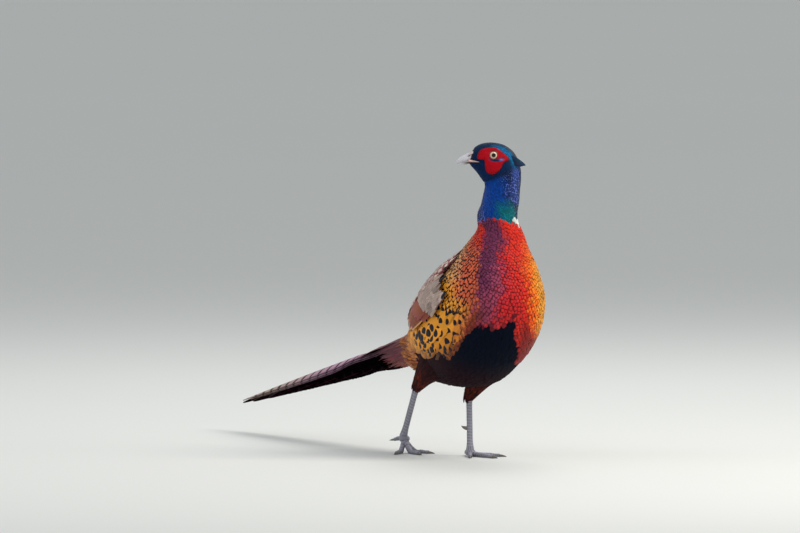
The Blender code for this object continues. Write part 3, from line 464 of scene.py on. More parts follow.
def even_pitch(along, around):
    return lambda q, degrees: (np.full(np.shape(q), along), np.full(np.shape(q), around))


def run_on(surface, q, phi, length, stops, drift=0.0):
    """Paths of that length from each root towards the tail. drift turns them round the body."""
    q_now, phi_now = np.array(q, float), np.array(phi, float)
    all_q, all_phi = [q_now.copy()], [phi_now.copy()]
    for share in np.diff(stops):
        pq, pf = surface.slopes(q_now, phi_now)
        q_now = q_now + length * share / np.maximum(span(pq), 1e-4)
        phi_now = phi_now + drift * length * share / np.maximum(span(pf), 1e-4)
        all_q.append(q_now.copy())
        all_phi.append(phi_now.copy())
    return np.stack(all_q, 1), np.stack(all_phi, 1)


# Settings


def shade(name, description, red, green, blue):
    """A colour property whose default is given as 8-bit screen values."""
    default = screen_colour(red, green, blue)
    return FloatVectorProperty(
        name=name, description=description, subtype="COLOR", size=3, min=0.0, max=1.0, default=default
    )


def measure(name, description, default):
    """A length property in metres."""
    return FloatProperty(name=name, description=description, unit="LENGTH", default=default, min=0.0)


class PheasantColours(bpy.types.PropertyGroup):
    crown: shade("Crown", "Dark blue of the crown", 12, 42, 72)
    nape_sheen: shade("Nape sheen", "Bright teal behind the crown", 22, 118, 172)
    # Painted bronze sheen and rim light on the top rear of the crown.
    bronze_rim_light: shade("Bronze", "Bronze gloss on the top of the crown", 116, 104, 92)
    throat: shade("Throat", "Blue black of the throat", 0, 34, 76)
    neck_blue: shade("Neck blue", "Royal blue of the neck's front", 0, 70, 166)
    neck_dusk: shade("Neck dusk", "Dark blue between the blue and the violet", 24, 50, 112)
    neck_violet: shade("Neck violet", "Violet of the upper hind neck", 72, 100, 190)
    # Colour of the painted highlights on the rims of the neck's violet feathers.
    violet_highlight: shade("Pale violet", "Light edges on the violet of the neck", 160, 170, 240)
    neck_green: shade("Neck green", "Teal green at the foot of the neck", 0, 118, 128)
    collar: shade("Collar", "White of the broken collar", 232, 238, 230)
    maroon: shade("Maroon", "Purple maroon of the upper breast", 112, 44, 80)
    copper: shade("Copper", "Copper of the breast's sides", 206, 92, 58)
    vermilion: shade("Vermilion", "Vermilion of the upper breast's sides", 218, 40, 22)
    orange: shade("Orange", "Orange of the breast's left side", 248, 108, 16)
    crimson: shade("Crimson", "Crimson of the middle breast", 206, 34, 38)
    mauve: shade("Mauve", "Rosy mauve between maroon and crimson", 156, 62, 92)
    gold: shade("Gold", "Gold of the flanks", 242, 160, 46)
    buff: shade("Buff", "Golden buff of the shoulders", 222, 166, 112)
    ink: shade("Ink", "Blue black of the belly and of the spots", 2, 9, 26)
    thigh: shade("Thigh", "Dark brown of the thighs", 40, 16, 20)
    rust: shade("Rust", "Rusty brown about the vent", 156, 62, 26)
    cream: shade("Cream", "Cream centres on the mantle", 240, 226, 204)
    rose: shade("Rose", "Rosy brown edges on the mantle", 150, 66, 74)
    taupe: shade("Taupe", "Grey brown of the wing coverts", 192, 170, 158)
    chestnut: shade("Chestnut", "Chestnut of the flight feathers", 150, 76, 48)
    plum: shade("Plum", "Plum edges of the great coverts", 96, 58, 72)
    rump: shade("Rump", "Maroon brown of the rump", 104, 44, 54)
    olive: shade("Olive", "Olive green gloss of the lower back", 96, 90, 62)
    tail: shade("Tail", "Rosy lilac grey of the tail", 182, 146, 166)
    # Also the painted shade on the outer pairs and on the undersides of the tail.
    tail_bar_and_shade: shade("Tail bars", "Dark bars and lower side of the tail", 24, 16, 22)
    wattle: shade("Wattle", "Crimson of the bare face", 196, 0, 26)
    bill: shade("Bill", "Pale horn of the bill", 214, 212, 220)
    operculum: shade("Nostril shield", "Pale flesh of the nostril shields", 206, 190, 192)
    gape: shade("Gape", "Flesh pink of the corners of the mouth", 214, 176, 170)
    iris: shade("Iris", "Pale cream of the iris", 236, 210, 184)
    leg: shade("Leg", "Blue grey of the legs", 156, 154, 168)
    claw: shade("Claw", "Dark horn of claws and spurs", 46, 40, 38)
    floor: shade("Floor", "Pale studio floor", 228, 228, 224)


class PheasantSizes(bpy.types.PropertyGroup):
    head_pitch: measure("Head feather spacing", "Between the head's feathers", 0.00185)
    neck_pitch: measure("Neck feather spacing", "Between the neck's feathers", 0.0044)
    breast_pitch: measure("Breast feather spacing", "Between the breast's feathers", 0.0048)
    flank_pitch: measure("Flank feather spacing", "Between the flanks' feathers", 0.0060)
    spot_pitch: measure("Spotted feather spacing", "Between the spotted feathers", 0.0116)
    belly_pitch: measure("Belly feather spacing", "Between the belly's feathers", 0.0056)
    coat_depth: measure("Coat depth", "From the tips of the body's feathers to the skin", 0.0024)
    head_depth: measure("Head coat depth", "The same on the head", 0.0007)
    eye_radius: measure("Eyeball", "Radius of each eyeball", 0.0070)
    pupil_radius: measure("Pupil", "Radius of each pupil", 0.0026)
    tail_length: measure("Tail", "Length of the middle tail feathers", 0.505)
    tail_pairs: IntProperty(name="Tail pairs", description="Pairs of tail feathers", default=9, min=7, max=9)
    camera_distance: measure("Camera distance", "From the camera to the bird", 25.0)


def colours():
    return bpy.context.scene.pheasant_colours


def sizes():
    return bpy.context.scene.pheasant_sizes


def tone(name):
    """A named colour as an array."""
    return np.array(getattr(colours(), name), float)


# Materials


class Shader:
    """A material's nodes, each made and linked in one call."""

    def __init__(self, name, roughness=0.5):
        self.material = bpy.data.materials.new(name)
        self.material.use_nodes = True
        self.tree = self.material.node_tree
        self.end = self.tree.nodes["Principled BSDF"]
        self.end.inputs["Roughness"].default_value = roughness

    def node(self, kind, **inputs):
        made = self.tree.nodes.new(kind)
        self.feed(made, inputs)
        return made

    def feed(self, made, inputs):
        for key, value in inputs.items():
            self.join(made.inputs[int(key[1:]) if key[0] == "i" and key[1:].isdigit() else key], value)

    def join(self, socket, value):
        """Links a node's output to the socket, or sets a plain value on it."""
        if hasattr(value, "is_linked"):
            self.tree.links.new(value, socket)
        else:
            socket.default_value = value

    def math(self, operation, *values):
        made = self.node("ShaderNodeMath", **{f"i{k}": v for k, v in enumerate(values)})
        made.operation = operation
        return made.outputs[0]

    def times(self, a, b):
        return self.math("MULTIPLY", a, b)

    def plus(self, a, b):
        return self.math("ADD", a, b)

    def minus(self, a, b):
        return self.math("SUBTRACT", a, b)

    def length(self, a, b):
        """The length of the vector (a, b)."""
        return self.math("POWER", self.plus(self.times(a, a), self.times(b, b)), 0.5)

    def layer(self, name):
        """The outputs of a mesh layer."""
        made = self.node("ShaderNodeAttribute")
        made.attribute_name = name
        return made.outputs

    def split(self, vector):
        return self.node("ShaderNodeSeparateXYZ", i0=vector).outputs

    def ramp(self, value, low, high):
        made = self.node("ShaderNodeMapRange", Value=value, **{"From Min": low, "From Max": high})
        made.interpolation_type = "SMOOTHSTEP"
        return made.outputs["Result"]

    def fall(self, value, low, high):
        """1 below low and 0 above high."""
        return self.minus(1.0, self.ramp(value, low, high))

    def near(self, value, middle, low, high):
        """1 up to `low` away from the middle, and 0 from `high` away."""
        return self.fall(self.math("ABSOLUTE", self.minus(value, middle)), low, high)

    def ripple(self, a, a_scale, b, b_scale):
        return self.math("SINE", self.plus(self.times(a, a_scale), self.times(b, b_scale)))

    def mix(self, share, a, b, blend="MIX"):
        made = self.tree.nodes.new("ShaderNodeMix")
        made.data_type, made.blend_type = "RGBA", blend
        made.clamp_factor = True
        for place, value in ((0, share), (6, a), (7, b)):
            is_colour = place > 0 and not hasattr(value, "is_linked")
            self.join(made.inputs[place], (*value[:3], 1.0) if is_colour else value)
        return made.outputs[2]

    def shaded(self, colour, share):
        """The colour times a number."""
        grey = self.node("ShaderNodeCombineXYZ", X=share, Y=share, Z=share).outputs[0]
        return self.mix(1.0, colour, grey, "MULTIPLY")

    def patches(self, own, colour, scale, detail, low, high, share):
        """The colour with noise patches of another colour in it."""
        return self.mix(self.times(self.ramp(self.noise(scale, detail), low, high), share), own, colour)

    def noise(self, scale, detail=3.0, vector=None, roughness=0.55, distortion=0.0):
        if vector is None:
            vector = self.node("ShaderNodeTexCoord").outputs["Object"]
        made = self.node("ShaderNodeTexNoise", Vector=vector, Scale=scale, Detail=detail)
        self.feed(made, {"Roughness": roughness, "Distortion": distortion})
        return made.outputs["Fac"]

    def bump(self, height, distance, strength=1.0):
        made = self.node("ShaderNodeBump", Height=height, Distance=distance, Strength=strength)
        self.feed(self.end, {"Normal": made.outputs[0]})

    def paint(self, colour):
        self.feed(self.end, {"Base Color": colour})

    def set(self, **values):
        """Plain numbers on the shader's own sockets."""
        for key, value in values.items():
            self.end.inputs[key.replace("_", " ")].default_value = value


def feather_layers(s):
    """A feather's side and length as masks, and its tint, rim and mark layers."""
    across, along, _ = s.split(s.layer("vane")["Vector"])
    return s.math("ABSOLUTE", across), along, s.layer("tint"), s.layer("rim"), s.layer("mark")


def plumage(name, roughness=0.55, metallic=0.0, specular=0.35, sheen=0.0, barbs=0.5, rim_at=(0.52, 0.88)):
    """Small feathers: their own colour, a rim, and a tip spot, pale shaft, bars or inner band."""
    s = Shader(name, roughness)
    side, along, tint, rim, marks = feather_layers(s)
    spot, shaft, bars = s.split(marks["Color"])
    edge = s.math("MAXIMUM", side, s.ramp(along, 0.60, 1.02))
    from_spot = s.length(side, s.times(s.minus(along, SHOWN), 4.4))
    own = s.shaded(tint["Color"], s.plus(0.86, s.times(s.noise(520.0, 2.0), 0.28)))
    for mask, strength, colour in (
        (s.ramp(s.ripple(along, 46.0, side, 7.0), -0.2, 0.6), bars, tone("ink") * 3.0),
        (s.fall(side, 0.06, 0.42), shaft, tone("cream")),
        (s.ramp(edge, *rim_at), rim["Alpha"], rim["Color"]),
        (s.near(edge, 0.56, 0.10, 0.20), marks["Alpha"], tone("ink") * 1.5),
        (s.fall(from_spot, 0.64, 0.74), spot, tone("ink")),
    ):
        own = s.mix(s.times(mask, strength), own, colour)
    s.paint(own)
    s.bump(s.ripple(along, 62.0, side, -26.0), 0.00006, barbs)
    s.set(Metallic=metallic, Specular_IOR_Level=specular, Sheen_Weight=sheen, Sheen_Roughness=0.35)
    return s.material


def tail_plumage():
    """Long tail feathers: rosy grey, crossed by dark bars, with plum fringes and a dark shaft."""
    s = Shader("barred tail plumage", 0.5)
    side, _, tint, rim, marks = feather_layers(s)
    metres, _, bars = s.split(marks["Color"])
    place = s.plus(s.times(metres, 1.0 / BAR_SPACING), s.times(side, 0.42))
    turn = s.math("FRACT", s.plus(place, s.times(s.minus(s.noise(160.0, 2.0), 0.5), 0.35)))
    bar = s.times(s.times(s.near(turn, 0.5, 0.10, 0.16), bars), s.fall(side, 0.92, 1.0))
    grey = s.plus(0.80, s.times(s.noise(90.0, 4.0, roughness=0.7), 0.40))
    own = s.shaded(tint["Color"], grey)
    own = s.mix(s.times(s.ramp(side, 0.55, 0.95), rim["Alpha"]), own, rim["Color"])
    own = s.mix(bar, own, tone("tail_bar_and_shade"))
    own = s.mix(s.times(s.fall(side, 0.02, 0.07), 0.55), own, tone("rump") * 0.6)
    s.paint(own)
    s.bump(s.ripple(metres, 2600.0, side, -46.0), 0.00008, 0.5)
    s.set(Specular_IOR_Level=0.0)
    return s.material


def skin_material():
    s = Shader("dark skin", 0.8)
    s.paint(s.mix(s.noise(300.0), tone("ink"), tone("thigh")))
    return s.material


def wattle_material():
    """Crimson bare skin: velvet, brighter on each bulb and dark between them, a painted shade in the hollows.
    """
    s = Shader("wattle skin", 0.46)
    deep = s.layer("relief")["Fac"]
    red = s.mix(s.ramp(deep, 0.1, 0.7), tone("wattle") * 0.35, tone("wattle"))
    red = s.patches(red, screen_colour(200, 22, 30), 260.0, 3.0, 0.45, 0.75, 0.25)
    red = s.mix(s.layer("furrow")["Fac"], red, tone("throat"))
    # A pale blue spot on the dark blue furrow below the eye: a painted highlight.
    red = s.mix(s.layer("pale")["Fac"], red, screen_colour(112, 124, 196))
    s.paint(red)
    s.bump(s.noise(1400.0, 2.0), 0.0001, 0.6)
    s.set(Specular_IOR_Level=0.1, Subsurface_Weight=0.05)
    return s.material


def eye_material():
    """A pupil, an iris with fine spokes and a dark outer ring, under a wet clear coat."""
    z = sizes()
    s = Shader("eye", 0.12)
    place = s.split(s.layer("gaze")["Vector"])
    out = s.length(place[0], place[1])
    spokes = s.noise(9.0, 3.0, vector=s.layer("spoke")["Vector"])
    iris = s.mix(s.ramp(spokes, 0.35, 0.7), tone("iris"), tone("iris") * 0.72)
    iris = s.mix(s.ramp(out, z.pupil_radius * 1.0, z.pupil_radius * 1.25), screen_colour(150, 92, 62), iris)
    iris = s.mix(s.ramp(out, 0.0047, 0.0052), iris, screen_colour(70, 34, 26))
    own = s.mix(s.ramp(out, z.pupil_radius * 0.94, z.pupil_radius * 1.02), (0.002, 0.002, 0.003), iris)
    s.paint(own)
    s.set(Coat_Weight=0.5, Coat_Roughness=0.02, Coat_IOR=1.376, Specular_IOR_Level=0.3)
    return s.material


def bill_material(name, colour, dark):
    """Pale horn: faint growth lines and a darker root."""
    s = Shader(name, 0.34)
    along = s.layer("relief")["Fac"]
    lines = s.noise(420.0, 4.0, distortion=0.6)
    own = s.mix(s.ramp(lines, 0.30, 0.72), tone(colour) * 0.80, tone(colour))
    # Darker where the relief is high: toward the lower half's root, and in the upper half's nostril pits as a
    # painted shade.
    own = s.mix(s.ramp(along, 0.55, 1.0), own, dark)
    s.paint(own)
    s.bump(lines, 0.00012, 0.35)
    s.set(Specular_IOR_Level=0.5, Coat_Weight=0.15, Coat_Roughness=0.25)
    return s.material


def scale_material():
    """Horny leg scales: paler on each plate, darker in the joints, with dry dusty patches."""
    s, base = Shader("leg scales", 0.46), tone("leg")
    own = s.mix(s.ramp(s.layer("relief")["Fac"], 0.05, 0.65), base * 0.12, base)
    own = s.patches(own, base * 0.55, 150.0, 4.0, 0.48, 0.74, 0.5)
    own = s.patches(own, screen_colour(188, 180, 172), 420.0, 3.0, 0.55, 0.8, 0.35)
    s.paint(own)
    s.bump(s.noise(1300.0, 3.0), 0.00012, 0.5)
    s.set(Specular_IOR_Level=0.45)
    return s.material


def horn_material():
    s = Shader("claw horn", 0.32)
    own = s.mix(s.ramp(s.layer("relief")["Fac"], 0.2, 1.0), screen_colour(112, 100, 92), tone("claw"))
    own = s.patches(own, screen_colour(128, 116, 104), 500.0, 3.0, 0.5, 0.8, 0.4)
    s.paint(own)
    s.bump(s.noise(900.0, 3.0, distortion=1.0), 0.0001, 0.4)
    s.set(Specular_IOR_Level=0.5, Coat_Weight=0.2, Coat_Roughness=0.2)
    return s.material


def floor_material():
    s = Shader("studio floor", 0.7)
    s.paint(s.mix(s.noise(0.6, 3.0), tone("floor"), tone("floor") * 0.97))
    s.bump(s.noise(160.0, 4.0), 0.0004, 0.10)
    return s.material


def rimmed(colour, share, count):
    """The rim layer: a colour, and how strongly it covers the edges of each feather."""
    return np.column_stack([np.tile(colour, (count, 1)), np.broadcast_to(share, count)])


def plain_look(count, colour, edge="ink", share=0.0):
    """Feathers of one colour, with edges of another."""
    return {
        "tint": np.tile(tone(colour), (count, 1)),
        "rim": rimmed(tone(edge), share, count),
        "mark": np.zeros((count, 4)),
    }


# Where each colour of the coat lies

# Rows of q and stops, from neck to belly. A stop is the angle from the middle of the breast, with
# the bird's right negative, and a colour's name. The photo shows the breast from about -110 to 60.
# The maroon and mauve band on the bird's right is partly the breast's own purple and partly a painted
# iridescent sheen; the left side has none of it.
BREAST_PLAN = (
    (9.2, "-90 vermilion -50 vermilion -36 maroon 0 maroon 16 vermilion 90 vermilion"),
    (9.8, "-108 copper -84 vermilion -58 vermilion -48 maroon -8 maroon 6 vermilion"
          " 56 vermilion 90 orange"),
    (10.4, "-112 buff -92 copper -64 copper -56 maroon -26 maroon -12 crimson 2 vermilion"
           " 22 vermilion 44 orange 84 copper"),
    (11.0, "-104 buff -84 copper -62 copper -54 maroon -40 maroon -28 mauve -14 crimson"
           " 4 vermilion 24 orange 42 gold 90 buff"),
    (11.6, "-98 buff -80 copper -58 copper -52 maroon -44 maroon -34 mauve -24 mauve -12 crimson"
           " 8 vermilion 18 orange 34 gold 90 buff"),
    (12.2, "-90 gold -74 copper -54 copper -46 mauve -32 mauve -20 crimson -2 crimson"
           " 8 vermilion 20 orange 34 gold 90 gold"),
    (12.8, "-76 gold -60 copper -50 copper -42 mauve -34 mauve -22 crimson -4 crimson"
           " 8 vermilion 22 orange 36 gold 90 gold"),
    (13.3, "-70 gold -56 copper -40 crimson 2 vermilion 18 vermilion 30 orange 42 gold 90 gold"),
    (14.0, "-72 gold -58 rust -50 copper -30 crimson 14 crimson 30 vermilion 44 copper 62 gold"),
    (15.4, "-84 gold -70 rust 50 rust 70 gold"),
    (17.2, "-120 rust 120 rust"),
)
# Rows of q and stops for the neck, as for the breast. Its blue, violet and green are partly the neck's own
# gloss colours and partly a painted iridescent sheen, each set on the side where it shows; the throat and
# dusk stops between -30 and -90 are painted shade along the neck's right.
NECK_PLAN = (
    (6.2, "-90 crown -20 throat 112 throat 128 neck_violet 146 neck_violet 165 throat"),
    (7.1, "-120 neck_blue -30 throat 20 neck_blue 88 neck_blue 104 neck_dusk 118 neck_violet"
          " 140 neck_violet 152 throat"),
    (7.8, "-100 neck_violet -40 throat -8 neck_blue 62 neck_blue 84 neck_dusk 100 neck_violet"
          " 120 neck_violet 134 throat"),
    (8.4, "-90 neck_dusk -42 neck_dusk -16 neck_blue 18 neck_blue 42 neck_green 84 neck_green"
          " 100 throat 150 neck_green"),
    (9.0, "-90 neck_dusk -50 neck_dusk -28 neck_blue 0 neck_blue 20 neck_green 76 neck_green"
          " 92 throat 150 neck_green"),
)
# The upper edge of the blue black belly: (angle, q). A tongue of gold reaches down at -52.
BELLY_LINE = (
    (-112, 17.6), (-95, 16.8), (-85, 16.0), (-76, 15.45), (-67, 15.0), (-60, 14.75), (-55.5, 14.7),
    (-52, 13.5), (-46, 13.06), (-36, 12.92), (-27, 12.88), (-20, 12.98), (-12, 12.82), (-6, 12.5),
    (-3, 12.75), (-1, 13.2), (7, 13.6), (12, 13.9), (18, 14.35), (32, 14.5), (60, 14.8),
    (76, 15.45), (95, 16.8), (112, 17.6),
)
# The lower end of the neck's blue: (angle, q)
NECK_SEAM = ((-120, 9.06), (-60, 8.96), (-5, 8.74), (30, 8.92), (60, 9.11), (120, 9.16))


def along_line(line, at):
    """The value of a line of (place, value) points at each place."""
    return np.interp(at, *np.array(line, float).T)


def planned(plan, q, around):
    """Colours from a plan's rows, mixed along and around the body."""
    levels = np.array([row[0] for row in plan])
    painted = []
    for _, stops in plan:
        at = [float(angle) for angle in stops.split()[::2]]
        shades = np.array([tone(name) for name in stops.split()[1::2]])
        painted.append(np.stack([np.interp(around, at, shades[:, k]) for k in range(3)], -1))
    painted = np.array(painted)
    i = np.clip(np.searchsorted(levels, q) - 1, 0, len(levels) - 2)
    share = np.clip((q - levels[i]) / (levels[i + 1] - levels[i]), 0, 1)
    each = np.arange(len(q))
    return mixed(painted[i, each], painted[i + 1, each], share)


def body_zones(q, degrees, rng):
    """Colour, rim and marks of the head, neck and body where each feather shows."""
    a, right = np.abs(degrees), degrees < 0
    m = np.where(right, a - 180.0, 180.0 - a)
    off = np.abs(m)
    count = len(q)
    tint = planned(BREAST_PLAN, q + rng.normal(0.0, 0.08, count), m + rng.normal(0.0, 3.6, count))
    pale = smooth(off, 52, 70)
    rim_colour = mixed(tint * 0.20, tone("ink") * 0.8, pale)
    share = 0.84 + 0.80 * pale * (m < 0) + 0.11 * pale * (m > 0)
    tint = mixed(tint, tint * 1.14, pale * (m < 0))
    share = share * (1 - 0.15 * (m > 8) * band(q, 9.0, 12.0, 0.4))

    # Mantle: rosy feathers with cream centres and a dark inner band
    mantle = fade(a, 52, 70) * smooth(q, 9.8, 10.8)
    tint = mixed(tint, tone("rose"), mantle * 0.85)
    shaft, inner = mantle * 0.95, mantle * 0.35
    rim_colour = mixed(rim_colour, tone("rose") * 0.7, mantle)

    # Flanks: a round black spot at the tip of each golden feather
    flank = smooth(q, 12.15, 12.7) * smooth(off, 50, 60) * smooth(a, 50, 62)
    share = share * (1 - flank * smooth(q, 12.6, 13.6))
    spot = flank * smooth(q, 12.5, 12.9) * fade(q, 15.1, 15.8)
    tint = mixed(tint, tone("gold") * 0.86, flank * 0.6)

    # Belly: blue black below its line
    line = along_line(BELLY_LINE, m) + rng.normal(0.0, 0.035, count)
    belly = smooth(q, line - 0.05, line + 0.08)
    # Just above the belly line the feathers are painted darker, towards deep rust and crimson, with fuller
    # dark rims: a painted shade, strongest about -54 and on the bird's left.
    shaded = np.interp(m, [-112, -64, -54, -44, -34, 0, 12], [0.3, 0.5, 1.0, 0.8, 0.1, 0.1, 1.0])
    painted_shade_band = band(q, line - 0.65 - 0.5 * smooth(m, 0, 14), line, 0.25) * (1 - belly) * shaded
    deep = mixed(tone("rust") * 0.34, tone("crimson") * 0.34, smooth(m, -40, 0))
    tint = mixed(tint, deep, painted_shade_band * 0.9)
    share = np.maximum(share, painted_shade_band * 0.9)
    low = tone("ink") + (tone("thigh") - tone("ink")) * smooth(q, 14.2, 15.4)[:, None] * 0.75
    tint = mixed(tint, low, belly)
    spot, share = spot * (1 - belly), share * (1 - belly)
    vent = smooth(q, 16.7, 17.5) * smooth(a, 74, 96)
    tint = mixed(tint, tone("rust"), vent)

    # Lower back and rump
    back = smooth(q, 15.2, 16.6) * fade(a, 60, 82)
    tint = mixed(tint, tone("rump"), back)
    tint = mixed(tint, tone("olive"), back * 0.6 * fade(a, 24, 50) * band(q, 14.8, 17.4, 0.7))
    share = np.where(back > 0.5, 0.30, share)

    # Neck and head
    seam = along_line(NECK_SEAM, m) + rng.normal(0.0, 0.02, count)
    neck = fade(q, seam - 0.03, seam + 0.03)
    blue = planned(NECK_PLAN, q + rng.normal(0.0, 0.06, count), m + rng.normal(0.0, 3.0, count))
    head = fade(q, 5.6, 6.5)
    blue = mixed(blue, tone("throat"), head)
    crown = head * fade(a, 54, 86)
    blue = mixed(blue, tone("crown"), crown)
    gloss = head * smooth(q, 2.6, 3.8) * band(a, 30, 54, 9) * rng.uniform(0.35, 1.0, count)
    blue = mixed(blue, tone("nape_sheen"), gloss)
    # Lighter bronze over the top rear of the crown: a painted sheen and rim light.
    blue = mixed(blue, tone("bronze_rim_light"), head * smooth(q, 3.8, 4.8) * fade(a, 14, 34) * 0.45)
    # At the neck's sides each feather's middle is painted darker and its rim lighter, pale violet on the
    # violet: painted highlights on the rims, standing for the neck's gloss.
    away = (1 - band(m, -20, 84, 16)) * (1 - head)
    tint = mixed(tint, blue * (0.62 - 0.26 * away + 0.38 * head)[:, None], neck)
    violet = 0.30 * away * (blue[:, 2] > blue[:, 1] * 1.3)
    glint = mixed(blue * (1.30 + 0.45 * away)[:, None], tone("violet_highlight"), violet)
    rim_colour = mixed(rim_colour, glint, neck)
    share = share * (1 - neck) + neck * np.interp(q, [0, 6, 7, 9], [0.0, 0.3, 0.9, 0.9])

    # The broken white collar
    reach = np.where(right, band(a, 40, 88, 4), band(a, 46, 118, 3))
    white = reach * band(q, seam - 0.16 - 0.10 * (m > 60), seam + 0.05, 0.02)
    tint, share = mixed(tint, tone("collar"), white), share * (1 - white)
    tint = tint * rng.uniform(0.84, 1.14, count)[:, None]
    return {
        "tint": tint,
        "rim": np.column_stack([rim_colour, share]),
        "mark": np.column_stack([spot, shaft, np.zeros(count), inner]) * ((1 - back) * (1 - neck))[:, None],
        "neck": neck,
    }


def body_pitch(q, degrees):
    """Spacing of roots along and around, from the fine head to the broad flanks."""
    z = sizes()
    a = np.abs(degrees)
    stops = (0, 5.5, 7.2, 9.0, 10.4, 12.2, 14.0, 19.0)
    steps = (z.head_pitch * 0.85, z.head_pitch, z.neck_pitch * 0.86, z.neck_pitch, z.breast_pitch * 0.78)
    size = np.interp(q, stops, (*steps, z.breast_pitch, z.breast_pitch * 1.1, z.belly_pitch))
    size = size + (z.flank_pitch - size) * smooth(q, 10.0, 12.0) * fade(a, 118, 136)
    spotted = smooth(q, 12.3, 13.0) * fade(a, 118, 130) * smooth(a, 44, 60)
    size = size + (z.spot_pitch - size) * spotted
    long = smooth(q, 10.0, 11.4) * fade(a, 104, 128) * fade(q, 15.4, 16.6)
    return size * (1 + (0.22 + 0.33 * spotted) * long), size * 0.96


# The share of a small feather's length at which the part that shows has its middle.
SHOWN = 0.82
SCALE = Vane((0.0, 0.30, 0.54, 0.72, 0.87, 0.96, 1.0), (0.34, 0.80, 0.99, 1.0, 0.80, 0.50, 0.18), 5, 0.20)
FINE = Vane((0.0, 0.5, 0.82, 1.0), (0.45, 1.0, 0.84, 0.30), 3, 0.26)
LOOSE = Vane((0.0, 0.25, 0.5, 0.75, 1.0), (0.5, 1.0, 0.86, 0.52, 0.08), 3, 0.30)
BROAD = Vane(
    (0.0, 0.14, 0.32, 0.52, 0.72, 0.86, 0.95, 1.0), (0.5, 0.8, 0.95, 1.0, 0.96, 0.82, 0.56, 0.20), 7, 0.10
)
TUFT = Vane(
    (0.0, 0.15, 0.3, 0.45, 0.6, 0.75, 0.88, 1.0), (0.5, 0.9, 1.0, 0.95, 0.82, 0.60, 0.36, 0.08), 3, 0.24
)
HAIR = Vane((0.0, 0.18, 0.38, 0.6, 0.8, 1.0), (0.5, 1.0, 0.92, 0.66, 0.36, 0.05), 3, 0.30)
QUILL = Vane(
    (0.0, 0.08, 0.2, 0.35, 0.5, 0.65, 0.78, 0.88, 0.95, 0.985, 1.0),
    (0.4, 0.72, 0.9, 0.98, 1.0, 1.0, 0.96, 0.86, 0.64, 0.40, 0.16), 9, 0.07,
)


def coat(name, surface, vane, roots, look, spans, material, rng, ends, slot, lean=0.0, splay=0.05, top=0.0):
    """One piece of coat: a mesh of feathers. Their spans are length, width and depth."""
    q, phi = roots
    count = len(q)
    length, width, depth, top = (np.broadcast_to(v, count) for v in (*spans, top))
    path = run_on(surface, q, phi, length, vane.stops, lean + rng.normal(0.0, splay, count))
    rise = smooth(vane.stops, 0.0, 0.75)
    high = top + rng.uniform(-0.16, 0.10, count) * depth - width * vane.crown * 0.5
    lift = -depth[:, None] * (1 - rise) * 0.96 + high[:, None] * rise
    grid = lay_feathers(surface, vane, path, width, lift, rng.normal(0.0, 0.05, count) * width)
    feather_piece(name, vane, grid, unwrap(q, phi, *ends), look, material, rng, slot)


def tinted(look, colour, share, strength=1.0):
    """Mixes a named colour, made darker by its strength, into the feathers' own."""
    look["tint"] = mixed(look["tint"], tone(colour) * strength, share)


def pick(values, keep):
    if isinstance(values, dict):
        return {name: each[keep] for name, each in values.items()}
    return tuple(each[keep] for each in values)


# Legs, wings and tail: the same places as the frame's. A leg point is (left, front, height).

LEGS = {
    "left": {
        "thigh": (
            (0.024, 0.010, 0.136), (0.024, -0.004, 0.115), (0.019, -0.017, 0.095),
            (0.0128, -0.0285, 0.0740), (0.0120, -0.0265, 0.0622),
        ),
        "hock": (0.0135, -0.0270, 0.0765),
        "foot": (0.0090, -0.0160, 0.0125),
        "lift": 0.0,
        "heading": 6.0,
    },
    "right": {
        "thigh": (
            (-0.022, -0.032, 0.138), (-0.026, -0.049, 0.121), (-0.031, -0.066, 0.105),
            (-0.034, -0.0835, 0.0870), (-0.0336, -0.0898, 0.0768),
        ),
        "hock": (-0.0340, -0.0830, 0.0890),
        "foot": (-0.0315, -0.1220, 0.0255),
        "lift": 0.0130,
        "heading": -7.0,
    },
}
THIGH_RADII = np.array([[0.032], [0.025], [0.0155], [0.0078], [0.0056]])
FRONTWARD = np.array([0.0, -1.0, 0.0])


def spot_at(p):
    """A leg point in the frame's coordinates."""
    return np.array([p[0], -p[1], p[2]]) + SHIFT


def thigh_surface(word, shrink=0.0):
    """The thigh as a surface: q counts its keys from hip to cuff, phi turns from its front."""
    keys = [spot_at(p) for p in LEGS[word]["thigh"]]

    def point(q, phi):
        q, phi = np.broadcast_arrays(np.asarray(q, float), np.asarray(phi, float))
        centre, radius = spline(keys, q), spline(THIGH_RADII, q)[..., 0] - shrink
        way = normalised(spline(keys, q + 0.05) - spline(keys, q - 0.05))
        across = normalised(np.cross(way, FRONTWARD))
        over = np.cross(across, way)
        wide, deep = 0.86 * radius * np.sin(phi), 1.1 * radius * np.cos(phi)
        return centre + across * wide[..., None] + over * deep[..., None]

    return Surface(point)


def inside_thigh(points, margin):
    """True for points that a thigh hides."""
    hidden = np.zeros(len(points), bool)
    for word in LEGS:
        keys = [spot_at(p) for p in LEGS[word]["thigh"][:-1]]
        at = np.linspace(0, 3, 40)
        centre, radius = spline(keys, at), spline(THIGH_RADII[:-1], at)
        gap = span(points[:, None] - centre) - radius[:, 0] * 0.86
        hidden |= gap.min(1) < -margin
    return hidden


# The folded wing's upper and lower edge as (q, degrees)
WING_TOP = ((11.0, 32), (13.0, 27), (17.0, 36))
WING_BOTTOM = (
    (11.0, 40), (11.6, 67), (12.0, 82), (12.5, 93), (12.9, 93), (13.3, 89), (14.6, 80), (15.5, 74),
    (17.0, 58),
)
# Black feathers at the front of the wing, put there as a painted shadow of the wing pit
WING_PIT_SHADOWS = ((11.3, 66), (11.75, 78), (12.25, 92))


